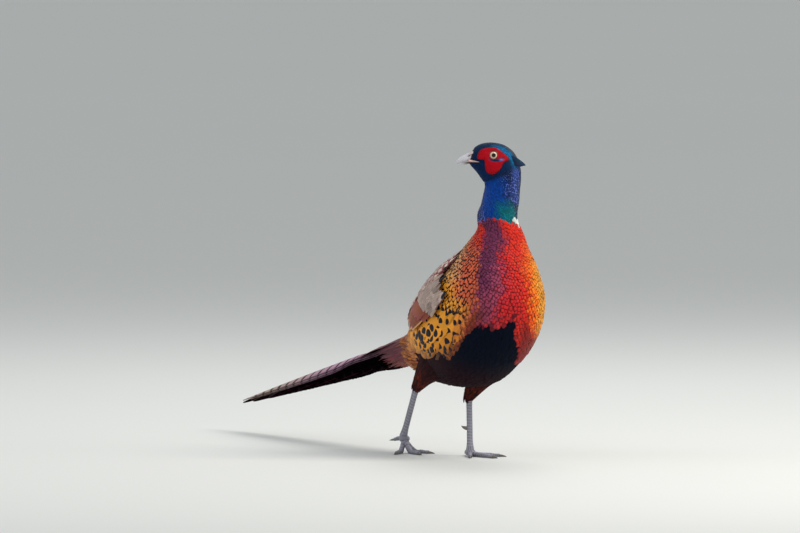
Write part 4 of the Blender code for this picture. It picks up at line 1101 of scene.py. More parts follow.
def wing_height(q, degrees):
    """How high the wing's outer surface lies over the body, thinning to its front and edges."""
    a = np.abs(degrees)
    top, bottom = along_line(WING_TOP, q), along_line(WING_BOTTOM, q)
    share = np.clip((a - top) / (bottom - top), 0.0, 1.0)
    across = smooth(share, -0.1, 0.25) * fade(share, 0.80, 1.12) * smooth(a, -6, 28)
    body = 0.0048 * smooth(q, 11.0, 12.2) * (1 - 0.6 * smooth(q, 14.2, 15.6))
    return 0.0006 + 0.0020 * smooth(q, 10.6, 11.5) + body * (0.35 * smooth(a, -6, 28) + 0.65 * across)


class MakeSkin(bpy.types.Operator):
    """The skin of head, neck, body and thighs, inside the flesh nodes by the coat's depth"""

    bl_idname = "pheasant.skin"
    bl_label = "Skin"

    def execute(self, context):
        z = sizes()
        q = np.linspace(0.0, AT["tail_root"] - 0.02, 190)[:, None]
        phi = full_turn(72)[None, :]
        depth = z.head_depth + (z.coat_depth - z.head_depth) * smooth(q, 6.0, 10.5)
        parts = [tube_arrays(BODY.lifted(q, phi, -depth + 0.0 * phi))]
        for word in LEGS:
            surface = thigh_surface(word, shrink=0.0016)
            parts.append(tube_arrays(surface.point(np.linspace(0.35, 2.98, 30)[:, None], phi)))
        nodes = ("head", "neck", "torso", "thigh_left", "thigh_right")
        dressed("skin", joined(parts), skin_material(), "body_feathers", *nodes)
        return {"FINISHED"}


class MakeCoat(bpy.types.Operator):
    """The feathers of head, neck, breast, flanks, belly, back and thighs"""

    bl_idname = "pheasant.coat"
    bl_label = "Body feathers"

    def execute(self, context):
        z, rng = sizes(), np.random.default_rng(SEED)
        ends = (0.10, AT["tail_root"] - 0.25)
        q, phi = staggered_roots(BODY, body_pitch, *ends, rng, 0.20)
        degrees = np.degrees(phi)
        a = np.abs(degrees)
        step, size = body_pitch(q, degrees)
        length = step * np.interp(q, [0, 7, 10, 13, 19], [2.5, 2.5, 2.6, 2.5, 3.1])
        seen = run_on(BODY, q, phi, length * SHOWN, np.linspace(0, 1, 4))
        look = body_zones(seen[0][:, -1], np.degrees(seen[1][:, -1]), rng)
        points = BODY.point(q, phi)
        over_wing = (a <= along_line(WING_TOP, q) + 7) | (a >= along_line(WING_BOTTOM, q) - 7)
        keep = over_wing | (q <= 11.9) | (q >= 14.7)
        keep &= ~inside_thigh(points, 0.003) & ~self.bare_face(points)
        q, phi, degrees, a, size, length = pick((q, phi, degrees, a, size, length), keep)
        look = pick(look, keep)
        neck = look.pop("neck") > 0.5

        depths = [z.head_depth, 0.9e-3, 1.3e-3, z.coat_depth, z.coat_depth, 1.8e-3]
        depth = np.interp(q, [0, 6, 9, 11, 17, 19], depths)
        near = np.exp(-(((a - along_line(WING_BOTTOM, q) - 7) / 10) ** 2)) * band(q, 12.6, 15.6, 0.5)
        fluff = band(q, 14.8, 17.2, 0.5) * smooth(a, 118, 150)
        ruff = band(q, 8.1, 8.7, 0.25) * (degrees < 0) * fade(a, 140, 165)
        top = 0.0045 * near + 0.0050 * fluff + 0.0020 * ruff
        lean = -0.22 * near * np.sign(degrees)
        width = size * np.interp(q, [0, 7, 10, 13, 19], [1.35, 1.4, 1.42, 1.38, 1.2])
        dark = (look["tint"].sum(1) < 0.12) & (q > 12)
        crown = plumage("head plumage", 0.55, metallic=0.1, specular=0.1)
        slim = plumage("glossy neck plumage", 0.45, metallic=0.3, specular=0.15, rim_at=(0.52, 0.84))
        warm = plumage("warm plumage", 0.55, metallic=0.12, specular=0.18, rim_at=(0.44, 0.76))
        soft = plumage("dark plumage", 0.8, specular=0.08)
        body = ~neck & ~dark
        high = body & (a <= 104)
        side = high & (a > 50) & (q < 16.2)
        zones = {
            "coat_head": (neck & (q < 6.6), FINE, crown, "head_feathers", 0.03),
            "coat_neck": (neck & (q >= 6.6), SCALE, slim, "neck_feathers", 0.04),
            "coat_breast": (body & ~high, SCALE, warm, "body_feathers", 0.05),
            "coat_flank": (side, SCALE, warm, "body_feathers", 0.07),
            "coat_back": (high & ~side, SCALE, warm, "rump_feathers", 0.07),
            "coat_belly": (dark, LOOSE, soft, "body_feathers", 0.12),
        }
        for name, (here, vane, material, slot, splay) in zones.items():
            if name == "coat_belly":
                length, width = length * 1.25, width * 1.05
            roots, own_look = (q[here], phi[here]), pick(look, here)
            spans, around = (length[here], width[here], depth[here]), (lean[here], splay, top[here])
            coat(name, BODY, vane, roots, own_look, spans, material, rng, ends, slot, *around)
        self.thighs(rng, soft)
        return {"FINISHED"}

    def bare_face(self, points):
        """True where the red face or an eye is."""
        bare = np.zeros(len(points), bool)
        out = points - head_point(0, 0, 0)
        for _, side in SIDES:
            forward, up, across = out @ HEAD_FORWARD, out @ UP, out @ HEAD_LEFT * side
            angle = np.degrees(np.arctan2(up, forward)) % 360
            reach = along_line(WATTLE_REACH, angle)
            at_gape = (forward > GAPE_BACK[0] - 0.0002) & (np.abs(up - GAPE_FRONT[1] + 0.0005) < 0.0018)
            bare |= (across > 0.004) & (at_gape | (np.hypot(forward, up) < reach - 0.0004))
        return bare

    def thighs(self, rng, material):
        for word in LEGS:
            surface = thigh_surface(word)
            q, phi = staggered_roots(surface, even_pitch(0.0042, 0.0042), 0.25, 2.93, rng)
            look = plain_look(len(q), "thigh")
            red = smooth(q, 0.6, 1.8) * rng.uniform(0.0, 0.7, len(q)) ** 2
            tinted(look, "rust", red, 0.6)
            look["tint"] *= rng.uniform(0.7, 1.35, len(q))[:, None]
            length = np.interp(q, [0, 2.2, 3], [0.018, 0.013, 0.010]) * rng.uniform(0.8, 1.2, len(q))
            name, roots, spans = f"coat_thigh_{word}", (q, phi), (length, 0.0050, 0.0015)
            ends, slot, around = (0.2, 3.0), "thigh_feathers", (0.0, 0.12)
            coat(name, surface, LOOSE, roots, look, spans, material, rng, ends, slot, *around)


# Outline of the red face skin: angle up from straight ahead in degrees, and reach from the eye.
WATTLE_REACH = (
    (0, 0.0205), (12, 0.0190), (22, 0.0176), (45, 0.0122), (70, 0.0097), (112, 0.0092),
    (140, 0.0098), (168, 0.0123), (185, 0.0175), (196, 0.0215), (206, 0.0180), (221, 0.0158),
    (238, 0.0185), (256, 0.0221), (274, 0.0255), (291, 0.0240), (303, 0.0195), (315, 0.0158),
    (325, 0.0138), (334, 0.0136), (341, 0.0175), (346, 0.0205), (351, 0.0215), (360, 0.0205),
)
WATTLE_INNER = 0.0058
BULB_SPACING = 0.0015


def head_tree():
    """The bare head and upper neck as a tree for casting rays at."""
    q = np.linspace(0.0, 8.4, 180)[:, None]
    points, faces = tube_arrays(BODY.point(q, full_turn(128)[None, :]))
    return BVHTree.FromPolygons(points.tolist(), faces.tolist())


def on_head(tree, forward, up, side):
    """Where a sideways ray meets the head, and the way out there."""
    hit, normal, _, _ = tree.ray_cast(Vector(head_point(forward, side * 0.06, up)), Vector(-HEAD_LEFT * side))
    if hit is None:
        raise ValueError(f"no head at {forward}, {up}")
    normal = np.array(normal)
    return np.array(hit), normal if normal @ HEAD_LEFT * side > 0 else -normal


class MakeFace(bpy.types.Operator):
    """The red face skin, the lids and the eyes"""

    bl_idname = "pheasant.face"
    bl_label = "Face and eyes"

    def execute(self, context):
        tree = head_tree()
        red, eye, lid = wattle_material(), eye_material(), self.lid_material()
        for word, side in SIDES:
            self.wattle(tree, word, side, red)
            self.eye(tree, word, side, eye)
            self.lid(tree, word, side, lid)
        return {"FINISHED"}

    def wattle(self, tree, word, side, material):
        around, rings = 150, 40
        turn = np.arange(around) * 360.0 / around
        padded = along_line(WATTLE_REACH, turn)
        reach = sum(np.roll(padded, k) for k in range(-1, 2)) / 3
        share = np.linspace(0, 1, rings)[:, None]
        radius = WATTLE_INNER + (reach[None] - WATTLE_INNER) * share
        forward, up = radius * np.cos(np.radians(turn)), radius * np.sin(np.radians(turn))
        hits = [[on_head(tree, f, u, side) for f, u in zip(*row)] for row in zip(forward, up)]
        base, normal = (np.array([[hit[k] for hit in row] for row in hits]) for k in (0, 1))
        rows_of_bulbs = ((1, 0), (0.5, 0.87), (0.5, -0.87))
        waves = [np.cos(2 * math.pi * (c * forward + s * up) / BULB_SPACING) for c, s in rows_of_bulbs]
        bulb = np.clip(0.5 + sum(waves) / 5, 0, 1)
        line = up + 0.0069 - 25.0 * (forward + 0.0034) ** 2
        furrow = np.exp(-(((forward + 0.0034) / 0.0092) ** 6) - (line / 0.0019) ** 4)
        # A pale blue spot on the furrow, a painted highlight.
        pale = np.exp(-(((forward + 0.0098) / 0.0026) ** 2) - ((up + 0.0060) / 0.0013) ** 2)
        rim = np.sqrt(np.clip(1 - share**6, 0, 1))
        swell = 0.00045 * np.exp(-(((up + 0.014) / 0.008) ** 2))
        thick = (0.0009 + swell + 0.00065 * bulb) * rim * (1 - 0.6 * furrow) + 0.0001
        over = base + normal * (0.0004 + thick)[..., None]
        under = base - normal * 0.0006
        points = np.concatenate([over.reshape(-1, 3), under.reshape(-1, 3)])
        top, count = grid_triangles(rings, around), rings * around
        faces = [top, top[:, ::-1] + count]
        j = np.arange(around)
        for row, flip in ((0, False), (rings - 1, True)):
            a, b = row * around + j, row * around + (j + 1) % around
            strip = np.concatenate([np.stack([a, b + count, b], -1), np.stack([a, a + count, b + count], -1)])
            faces.append(strip[:, ::-1] if flip else strip)
        body = (points, outward_facing(points, np.concatenate(faces)))
        layers = {"relief": bulb * rim, "furrow": furrow, "pale": pale}
        layers = {layer: np.tile(values.ravel(), 2) for layer, values in layers.items()}
        dressed(f"wattle_skin_{word}", body, material, "wattle", f"wattle_{word}", **layers)

    def eye(self, tree, word, side, material):
        z = sizes()
        hit, _ = on_head(tree, 0.0, 0.0, side)
        seat = hit - HEAD_LEFT * side * 0.0047
        fall, turn = np.linspace(0.0, math.pi, 41)[1:-1], full_turn(72)
        out = HEAD_FORWARD[None] * np.cos(turn)[:, None] + UP[None] * np.sin(turn)[:, None]
        bulge = 1 + 0.05 * np.exp(-((fall / 0.55) ** 2))
        ball = np.sin(fall)[:, None, None] * out[None] + (np.cos(fall) * side)[:, None, None] * HEAD_LEFT
        points, faces = tube_arrays(seat + ball * (z.eye_radius * bulge)[:, None, None])
        away = points - seat
        gaze = np.stack([away @ HEAD_FORWARD, away @ UP, away @ HEAD_LEFT * side], -1)
        gaze[gaze[:, 2] < 0, 0] += 1.0
        angle = np.arctan2(gaze[:, 1], gaze[:, 0])
        spoke = np.stack([np.cos(angle), np.sin(angle), np.hypot(gaze[:, 0], gaze[:, 1]) * 40], -1)
        dressed(f"eyeball_{word}", (points, faces), material, "eye", f"eye_{word}", gaze=gaze, spoke=spoke)

    def lid_material(self):
        s = Shader("eyelid skin", 0.5)
        patches = s.ramp(s.noise(700.0), 0.4, 0.7)
        s.paint(s.mix(patches, screen_colour(92, 22, 26), screen_colour(150, 60, 52)))
        s.bump(s.noise(1500.0), 0.0001, 0.6)
        return s.material

    def lid(self, tree, word, side, material):
        hit, _ = on_head(tree, 0.0, 0.0, side)
        centre = hit + HEAD_LEFT * side * 0.0006
        turn, roll = full_turn(96), full_turn(20)
        spoke = HEAD_FORWARD[None] * np.cos(turn)[:, None] + UP[None] * (np.sin(turn) * 0.93)[:, None]
        crease = 1 + 0.10 * np.cos(turn * 22)[:, None]
        out = 0.0057 + 0.00075 * np.cos(roll)[None] * crease
        rise = 0.0009 * np.sin(roll)[None] * crease - 0.0001
        points = centre + spoke[:, None] * out[..., None] + HEAD_LEFT * side * rise[..., None]
        flat = points.reshape(-1, 3)
        cells = grid_triangles(len(turn) + 1, len(roll)) % len(flat)
        dressed(f"eyelid_{word}", (flat, outward_facing(flat, cells)), material, "wattle")


# Bill sections: top (forward, up), bottom (forward, up), half width
UPPER_BILL = (
    ((0.0263, 0.0044), (0.0299, -0.0083), 0.0064),
    ((0.0290, 0.0034), (0.0315, -0.0084), 0.0060),
    ((0.0326, 0.0016), (0.0342, -0.0086), 0.0053),
    ((0.0380, -0.0010), (0.0387, -0.0090), 0.0041),
    ((0.0430, -0.0040), (0.0430, -0.0096), 0.0029),
    ((0.0465, -0.0073), (0.0460, -0.0106), 0.0017),
    ((0.0484, -0.0110), (0.0476, -0.0121), 0.0005),
)
LOWER_BILL = (
    ((0.0302, -0.0091), (0.0309, -0.0117), 0.0057),
    ((0.0330, -0.0092), (0.0338, -0.0124), 0.0051),
    ((0.0370, -0.0097), (0.0375, -0.0127), 0.0040),
    ((0.0415, -0.0103), (0.0415, -0.0123), 0.0026),
    ((0.0448, -0.0113), (0.0446, -0.0119), 0.0008),
)


NOSTRIL_FRONT = 0.0305
# Ends of the corner of the mouth, ahead of and above the eyes' middle
GAPE_FRONT = (0.0318, -0.0073)
GAPE_BACK = (0.0185, -0.0088)
# How far ahead of the eyes' middle the round of the head reaches
HEAD_FRONT = 0.0262


class MakeBill(bpy.types.Operator):
    """Both halves of the bill, with the swollen shield over each nostril"""

    bl_idname = "pheasant.bill"
    bl_label = "Bill"

    def execute(self, context):
        for name, table, roundness, dark in (
            ("upper", UPPER_BILL, 0.86, screen_colour(58, 44, 46)),
            ("lower", LOWER_BILL, 0.88, screen_colour(96, 74, 70)),
        ):
            horn = bill_material(f"{name} bill horn", "bill", dark)
            body, relief = self.half(table, roundness, name == "upper")
            dressed(f"bill_{name}_horn", body, horn, "bill", f"bill_{name}", relief=relief)
        skin = bill_material("nostril shield skin", "operculum", screen_colour(92, 70, 70))
        fleshy, tree = bill_material("gape skin", "gape", screen_colour(150, 100, 96)), head_tree()
        for word, side in SIDES:
            for name, body, material in (
                (f"nostril_shield_{word}", self.shield(side), skin),
                (f"gape_skin_{word}", self.gape(tree, side), fleshy),
            ):
                dressed(name, body, material, "bill", relief=np.zeros(len(body[0])))
        return {"FINISHED"}

    def half(self, table, roundness, is_upper):
        """Half of the bill and its relief, with a lip and nostril pits on the upper one."""
        steps, turn = 90, full_turn(64)
        keys = np.array([[*top, *bottom, half_width] for top, bottom, half_width in table])
        rows = spline(keys, np.linspace(0, len(keys) - 1, steps))
        along, across = (np.sign(v) * np.abs(v) ** roundness for v in (np.cos(turn), np.sin(turn)))
        rings, relief = [], []
        for place, (top_f, top_z, low_f, low_z, half_width) in zip(np.linspace(0, 1, steps), rows):
            forward = (top_f + low_f) / 2 + along * (top_f - low_f) / 2
            up = (top_z + low_z) / 2 + along * (top_z - low_z) / 2
            side, depth = across * half_width, np.full(len(turn), 1 - 0.5 * place)
            if is_upper:
                ahead = forward - NOSTRIL_FRONT
                pit = np.exp(-((ahead / 0.0032) ** 2) - ((up + 0.0012 + 0.5 * ahead) / 0.0010) ** 2)
                lip = np.exp(-(((along + 0.86) / 0.10) ** 2)) * (1 - place)
                side = side * (1 - 0.34 * pit) * (1 + 0.05 * lip)
                up = up + 0.00025 * math.sin(place * 9.0) * (along < -0.5) * (1 - place)
                # High relief in the nostril pits, which the horn's shader paints dark as a painted shade.
                depth = np.maximum(0.5 * max(0.0, 1 - place * 3.0), pit)
            rings.append(head_point(forward, side, up))
            relief.append(depth)
        return tube_arrays(rings), np.concatenate([np.ravel(relief), [relief[0][0], relief[-1][0]]])

    def shield(self, side):
        """The soft, swollen flap above the nostril."""
        fall, turn = np.linspace(0, math.pi, 26)[1:-1], full_turn(40)
        lean, length, height, thick = math.radians(-31), 0.0040, 0.0024, 0.0019
        ring = np.sin(fall)[:, None]
        x = np.cos(fall)[:, None] * np.ones(len(turn)) * length
        y = ring * np.sin(turn) * height * np.where(np.sin(turn) < 0, 0.62, 1.0) * (1 - 0.25 * x / length)
        out = ring * np.cos(turn) * thick
        forward, up = x * math.cos(lean) - y * math.sin(lean), x * math.sin(lean) + y * math.cos(lean)
        return tube_arrays(head_point(0.0278 + forward, side * (0.0048 + out), 0.0016 + up))

    def gape(self, tree, side):
        """The pale fleshy corner of the mouth, which runs back under the lores."""
        share = np.linspace(0, 1, 40)
        forward, up = np.outer(GAPE_FRONT, 1 - share) + np.outer(GAPE_BACK, share)
        path = [
            on_head(tree, min(f, HEAD_FRONT), u, side)[0] + HEAD_FORWARD * max(f - HEAD_FRONT, 0.0)
            for f, u in zip(forward, up)
        ]
        radius = (0.0005 + 0.0017 * (1 - share)) * np.sqrt(np.clip(1.02 - share**6, 0, 1))
        path = np.array(path) + HEAD_LEFT * side * 0.0003
        return tube_arrays(swept_rings(path, np.stack([radius, radius * 0.8], -1), 24, front=UP))


class MakeTufts(bpy.types.Operator):
    """The pointed feather horns behind the eyes"""

    bl_idname = "pheasant.tufts"
    bl_label = "Ear tufts"

    def execute(self, context):
        rng = np.random.default_rng(SEED + 1)
        material = plumage("glossy tuft plumage", 0.36, metallic=0.5, specular=0.6)
        for word, side in SIDES:
            self.tuft(word, side, material, rng)
        return {"FINISHED"}

    def tuft(self, word, side, material, rng):
        count, stops = 46, TUFT.stops
        row, layer = rng.uniform(0, 1, count), rng.uniform(0, 1, count)
        root = head_point(-0.0200 - 0.0060 * layer, side * (0.0105 + 0.0020 * layer), -0.0002 - 0.0105 * row)
        middle = head_point(-0.0322, side * (0.0165 - 0.0012 * row + 0.0012 * layer), -0.0040 - 0.0090 * row)
        tip = head_point(-0.0432 + 0.0080 * row, side * (0.0130 + 0.001 * layer), -0.0134 - 0.0018 * row)
        t = stops[None, :, None]
        path = root[:, None] * (1 - t) ** 2 + 2 * middle[:, None] * t * (1 - t) + tip[:, None] * t**2
        way = normalised(np.gradient(path, axis=1))
        across = normalised(np.cross(HEAD_LEFT * side, way))
        over = np.cross(way, across)
        s = np.append(TUFT.across, 0.0)
        half = rng.uniform(0.0010, 0.0015, count)[:, None] * TUFT.widths
        rise = half[..., None] * TUFT.crown * (1 - s**2)
        rise[..., -1] -= 0.00012
        grid = path[:, :, None] + across[:, :, None] * (half[..., None] * s)[..., None]
        grid = grid + over[:, :, None] * rise[..., None]
        look = plain_look(count, "crown")
        look["tint"] *= 0.6
        tinted(look, "throat", row, 0.8)
        tinted(look, "nape_sheen", (1 - row) * rng.uniform(0, 0.6, count), 0.6)
        place = np.stack([0.1 + 0.8 * row, 0.1 + 0.8 * layer], -1)
        feather_piece(f"ear_tuft_{word}", TUFT, grid, place, look, material, rng, "head_feathers")


class MakeWings(bpy.types.Operator):
    """The folded wings: lesser, middle and great coverts, flight feathers and scapulars"""

    bl_idname = "pheasant.wings"
    bl_label = "Wings"

    def execute(self, context):
        rng = np.random.default_rng(SEED + 2)
        matt = plumage("wing covert plumage", 0.6, specular=0.15, sheen=0.1, rim_at=(0.64, 0.94))
        edged = plumage("scapular plumage", 0.6, specular=0.2, sheen=0.1, rim_at=(0.40, 0.78))
        for word, side in SIDES:
            self.core(word, side)
            self.quills(word, side, matt, rng)
            self.small_coverts(word, side, matt, rng)
            self.scapulars(word, side, edged, rng)
        return {"FINISHED"}

    def core(self, word, side):
        """A thin dark body under the feathers."""
        q = np.linspace(11.75, 14.8, 60)[:, None]
        share = np.linspace(0.03, 0.97, 40)[None]
        low, high = along_line(WING_TOP, q), along_line(WING_BOTTOM, q)
        degrees = low + 3 + (high - low - 15) * share
        phi = side * np.radians(degrees)
        top = BODY.lifted(q, phi, np.maximum(wing_height(q, degrees) - 0.0024, 0.0012))
        under = BODY.lifted(q, phi, 0.0004 + 0.0 * phi)
        ring = np.concatenate([top, under[:, ::-1]], axis=1)
        dressed(f"wing_core_{word}", tube_arrays(ring), skin_material(), "wing_feathers", f"wing_{word}")

    def lay(self, name, side, vane, q, degrees, look, spans, material, rng, lean=0.0, splay=0.03):
        """Feathers whose roots lie `sink` under the wing's surface and whose tips lie `rise` over it."""
        phi, count = side * np.radians(degrees), len(q)
        length, width, sink, rise = spans
        width = np.broadcast_to(width, count)
        path = run_on(BODY, q, phi, length, vane.stops, side * lean + rng.normal(0.0, splay, count))
        climb = smooth(vane.stops, 0.0, 0.8)
        lift = wing_height(path[0], np.degrees(path[1])) - sink * (1 - climb) + rise * climb
        grid = lay_feathers(BODY, vane, path, width, lift, rng.normal(0, 0.03, count) * width)
        feather_piece(name, vane, grid, unwrap(q, phi, 11.0, 18.0), look, material, rng, "wing_feathers")

    def quills(self, word, side, material, rng):
        """Primaries, secondaries, great and middle coverts, hindmost first."""
        # Name, count, q of the root, degrees of its ends, spans, colours, strength of the bars, lean
        tiers = (
            ("primaries", 6, 14.15, (48, 70), (0.042, 0.0125, 0.0032, -0.0004), "taupe ink", 0.5, -0.10),
            ("secondaries", 8, 13.75, (42, 80), (0.047, 0.0160, 0.0028, 0.0), "chestnut buff", 0.25, -0.28),
            ("great_coverts", 9, 13.2, (40, 86), (0.037, 0.0155, 0.0022, 4e-4), "chestnut rose", 0.12, -0.26),
            ("middle_coverts", 11, 12.6, (38, 90), (0.027, 0.0140, 0.0018, 8e-4), "taupe plum", 0.10, -0.16),
        )
        for name, count, root, edges, (length, *spans), inks, bars, lean in tiers:
            share = np.linspace(0, 1, count)
            q = root + rng.uniform(-0.05, 0.05, count) - 0.25 * share
            look = plain_look(count, *inks.split(), 0.95)
            look["tint"] *= rng.uniform(0.74, 1.14, count)[:, None]
            look["mark"][:, 2] = bars
            spans = (length * rng.uniform(0.94, 1.06, count), *spans)
            degrees, name = np.linspace(*edges, count), f"{name}_{word}"
            self.lay(name, side, QUILL, q, degrees, look, spans, material, rng, lean * share, 0.02)

    def small_coverts(self, word, side, material, rng):
        q, phi = staggered_roots(BODY, even_pitch(0.0062, 0.0060), 11.0, 13.1, rng, 0.2)
        degrees = np.degrees(phi) * side
        keep = (degrees > along_line(WING_TOP, q) + 1) & (degrees < along_line(WING_BOTTOM, q) - 1)
        q, degrees = pick((q, degrees), keep)
        count = len(q)
        look = plain_look(count, "taupe")
        tinted(look, "rose", fade(degrees, 50, 84) * rng.uniform(0.0, 0.5, count))
        dusky = smooth(degrees, 70, 86) * (rng.random(count) < 0.35) * 0.4
        look["tint"] *= (rng.uniform(0.85, 1.15, count) * (1 - dusky))[:, None]
        look["rim"] = rimmed(tone("chestnut") * 0.8, 0.25, count)
        look["mark"][:, 2] = 0.34
        spans = (0.016, 0.0094, 0.0020, 0.0010)
        self.lay(f"lesser_coverts_{word}", side, SCALE, q, degrees, look, spans, material, rng)

    def scapulars(self, word, side, material, rng):
        """Long shoulder feathers over the wing's upper edge."""
        q, degrees = np.meshgrid(np.arange(10.3, 14.6, 0.29), np.arange(1.5, 64.0, 6.2), indexing="ij")
        q = (q + 0.15 * (np.arange(q.shape[1]) % 2)).ravel() + rng.uniform(-0.05, 0.05, q.size)
        degrees = degrees.ravel() + rng.uniform(-1.5, 1.5, degrees.size)
        keep = degrees < np.interp(q, [10.4, 11.3, 12.2, 13.2, 15.0], [66, 67, 61, 52, 46])
        q, degrees = pick((q, degrees), keep)
        look = plain_look(len(q), "cream", "rose", 1.0)
        tinted(look, "rose", rng.random(len(q)) * 0.35)
        look["mark"][:, 3] = 0.25
        spans = (0.028 * rng.uniform(0.9, 1.1, len(q)), 0.0104, 0.0022, 0.0012)
        self.lay(f"scapulars_{word}", side, BROAD, q, degrees, look, spans, material, rng, 0.05)
        # Three black feathers in front of the wing: a painted shadow of the wing pit.
        q, degrees = np.array(WING_PIT_SHADOWS, float).T
        look, spans = plain_look(len(q), "ink"), (0.0105, 0.0052, 0.0010, 0.0019)
        self.lay(f"wing_pit_shadows_{word}", side, BROAD, q, degrees, look, spans, material, rng, 0.3)


class MakeRump(bpy.types.Operator):
    """The hair-like feathers of the rump and the long coverts over the tail's root"""

    bl_idname = "pheasant.rump"
    bl_label = "Rump and tail coverts"

    def execute(self, context):
        rng = np.random.default_rng(SEED + 3)
        material = plumage("hair-like rump plumage", 0.6, specular=0.2, sheen=0.15, barbs=0.3)
        count = 1500
        q, a = rng.uniform(17.0, 19.0, count), rng.uniform(0, 180, count)
        length = np.interp(q, [17.0, 19.0], [0.046, 0.082]) * np.interp(a, [0, 100, 180], [1.0, 0.85, 0.70])
        look = plain_look(count, "rump")
        tinted(look, "olive", 0.35 * fade(a, 20, 50) * rng.uniform(0, 1, count))
        tinted(look, "plum", 0.5 * band(a, 40, 110, 20) * rng.uniform(0, 1, count))
        tinted(look, "rust", smooth(a, 112, 150) * rng.uniform(0.2, 0.9, count))
        lift = rng.uniform(0.0, 0.0018, count)
        self.strands("tail_covert_plumes", q, a, length, lift, look, material, rng, "tail_coverts")

        count = 620
        a = rng.uniform(44, 156, count)
        q = rng.uniform(np.interp(a, [44, 90, 108, 156], [15.7, 16.2, 17.1, 17.3]), 18.5)
        look = plain_look(count, "gold")
        deep = np.maximum(smooth(a, 58, 100), smooth(q, 16.4, 17.6)) * rng.uniform(0.45, 1.0, count)
        look["tint"] *= 0.75
        tinted(look, "rust", deep, 0.9)
        tinted(look, "thigh", smooth(a, 130, 156))
        lift = rng.uniform(0.001, 0.003, count) + 0.0060 * band(a, 104, 150, 12) * rng.uniform(0, 1, count)
        self.strands("flank_plumes", q, a, rng.uniform(0.018, 0.031, count), lift, look, material, rng)
        return {"FINISHED"}

    def strands(self, name, q, a, length, lift, look, material, rng, *nodes):
        """Narrow loose feathers on both sides, `a` degrees from the back."""
        count = len(q)
        look["tint"] *= rng.uniform(0.5, 1.3, count)[:, None]
        phi = np.radians(a) * np.where(np.arange(count) % 2, 1.0, -1.0)
        length = length * rng.uniform(0.8, 1.1, count)
        path_q, path_phi = run_on(BODY, q, phi, length, HAIR.stops, rng.normal(0.0, 0.06, count))
        path = np.minimum(path_q, len(ROWS) - 1.1), path_phi
        height = 0.0006 + lift[:, None] * smooth(HAIR.stops, 0.0, 0.6)
        width = rng.uniform(0.0021, 0.0038, count)
        grid = lay_feathers(BODY, HAIR, path, width, height, 0.0 * width)
        place = unwrap(q, phi, 15.0, 19.1)
        feather_piece(name, HAIR, grid, place, look, material, rng, "rump_feathers", *nodes)


TAIL_SHARES = (1.0, 0.95, 0.87, 0.77, 0.66, 0.54, 0.42, 0.33, 0.25)
TAIL_HALF_WIDTHS = (0.0175, 0.0170, 0.0155, 0.0140, 0.0125, 0.0115, 0.0100, 0.0090, 0.0080)
TAIL_OUTLINE = ((0.0, 0.18), (0.14, 0.70), (0.36, 1.0), (0.62, 0.86), (0.85, 0.45), (1.0, 0.06))
TAIL_TOP = 0.0103
TAIL_LAYER = 0.00104
BAR_SPACING = 0.0250
ROOF_SLOPE = 0.40
ROOF_STEEPER = 0.32
RIDGE_ROUND = 0.006
# Under the coverts the whole tail lies lower by this much.
ROOT_RISE = 0.0035


def tail_point(along, side, up):
    """A point of the tail from its distance along, to the left of and above the tail's line."""
    along, side, up = (np.asarray(v, float)[..., None] for v in (along, side, up))
    up = up + ROOT_RISE * (smooth(along, 0.105, 0.165) - 1.0)
    sag = 0.006 * (along / sizes().tail_length) ** 2
    return TAIL_ROOT + SHIFT + TAIL_AXIS * along + np.array([1.0, 0.0, 0.0]) * side + TAIL_UP * (up - sag)


def roof_drop(along, side):
    """How far the tail's roof falls from its ridge to that distance from the middle."""
    slope = ROOF_SLOPE + ROOF_STEEPER * smooth(along, 0.11, 0.21)
    return slope * (np.hypot(side, RIDGE_ROUND) - RIDGE_ROUND)


def tail_roof(q, phi):
    """The tail's upper surface under its long coverts: q centimetres along, phi centimetres left."""
    along, side = np.broadcast_arrays(np.asarray(q, float) * 0.01, np.asarray(phi, float) * 0.01)
    dip = ROOT_RISE * fade(along, 0.085, 0.140)
    height = 0.0088 + 0.0018 * smooth(along, 0.055, 0.105)
    return tail_point(along, side, height + dip - roof_drop(along, side))


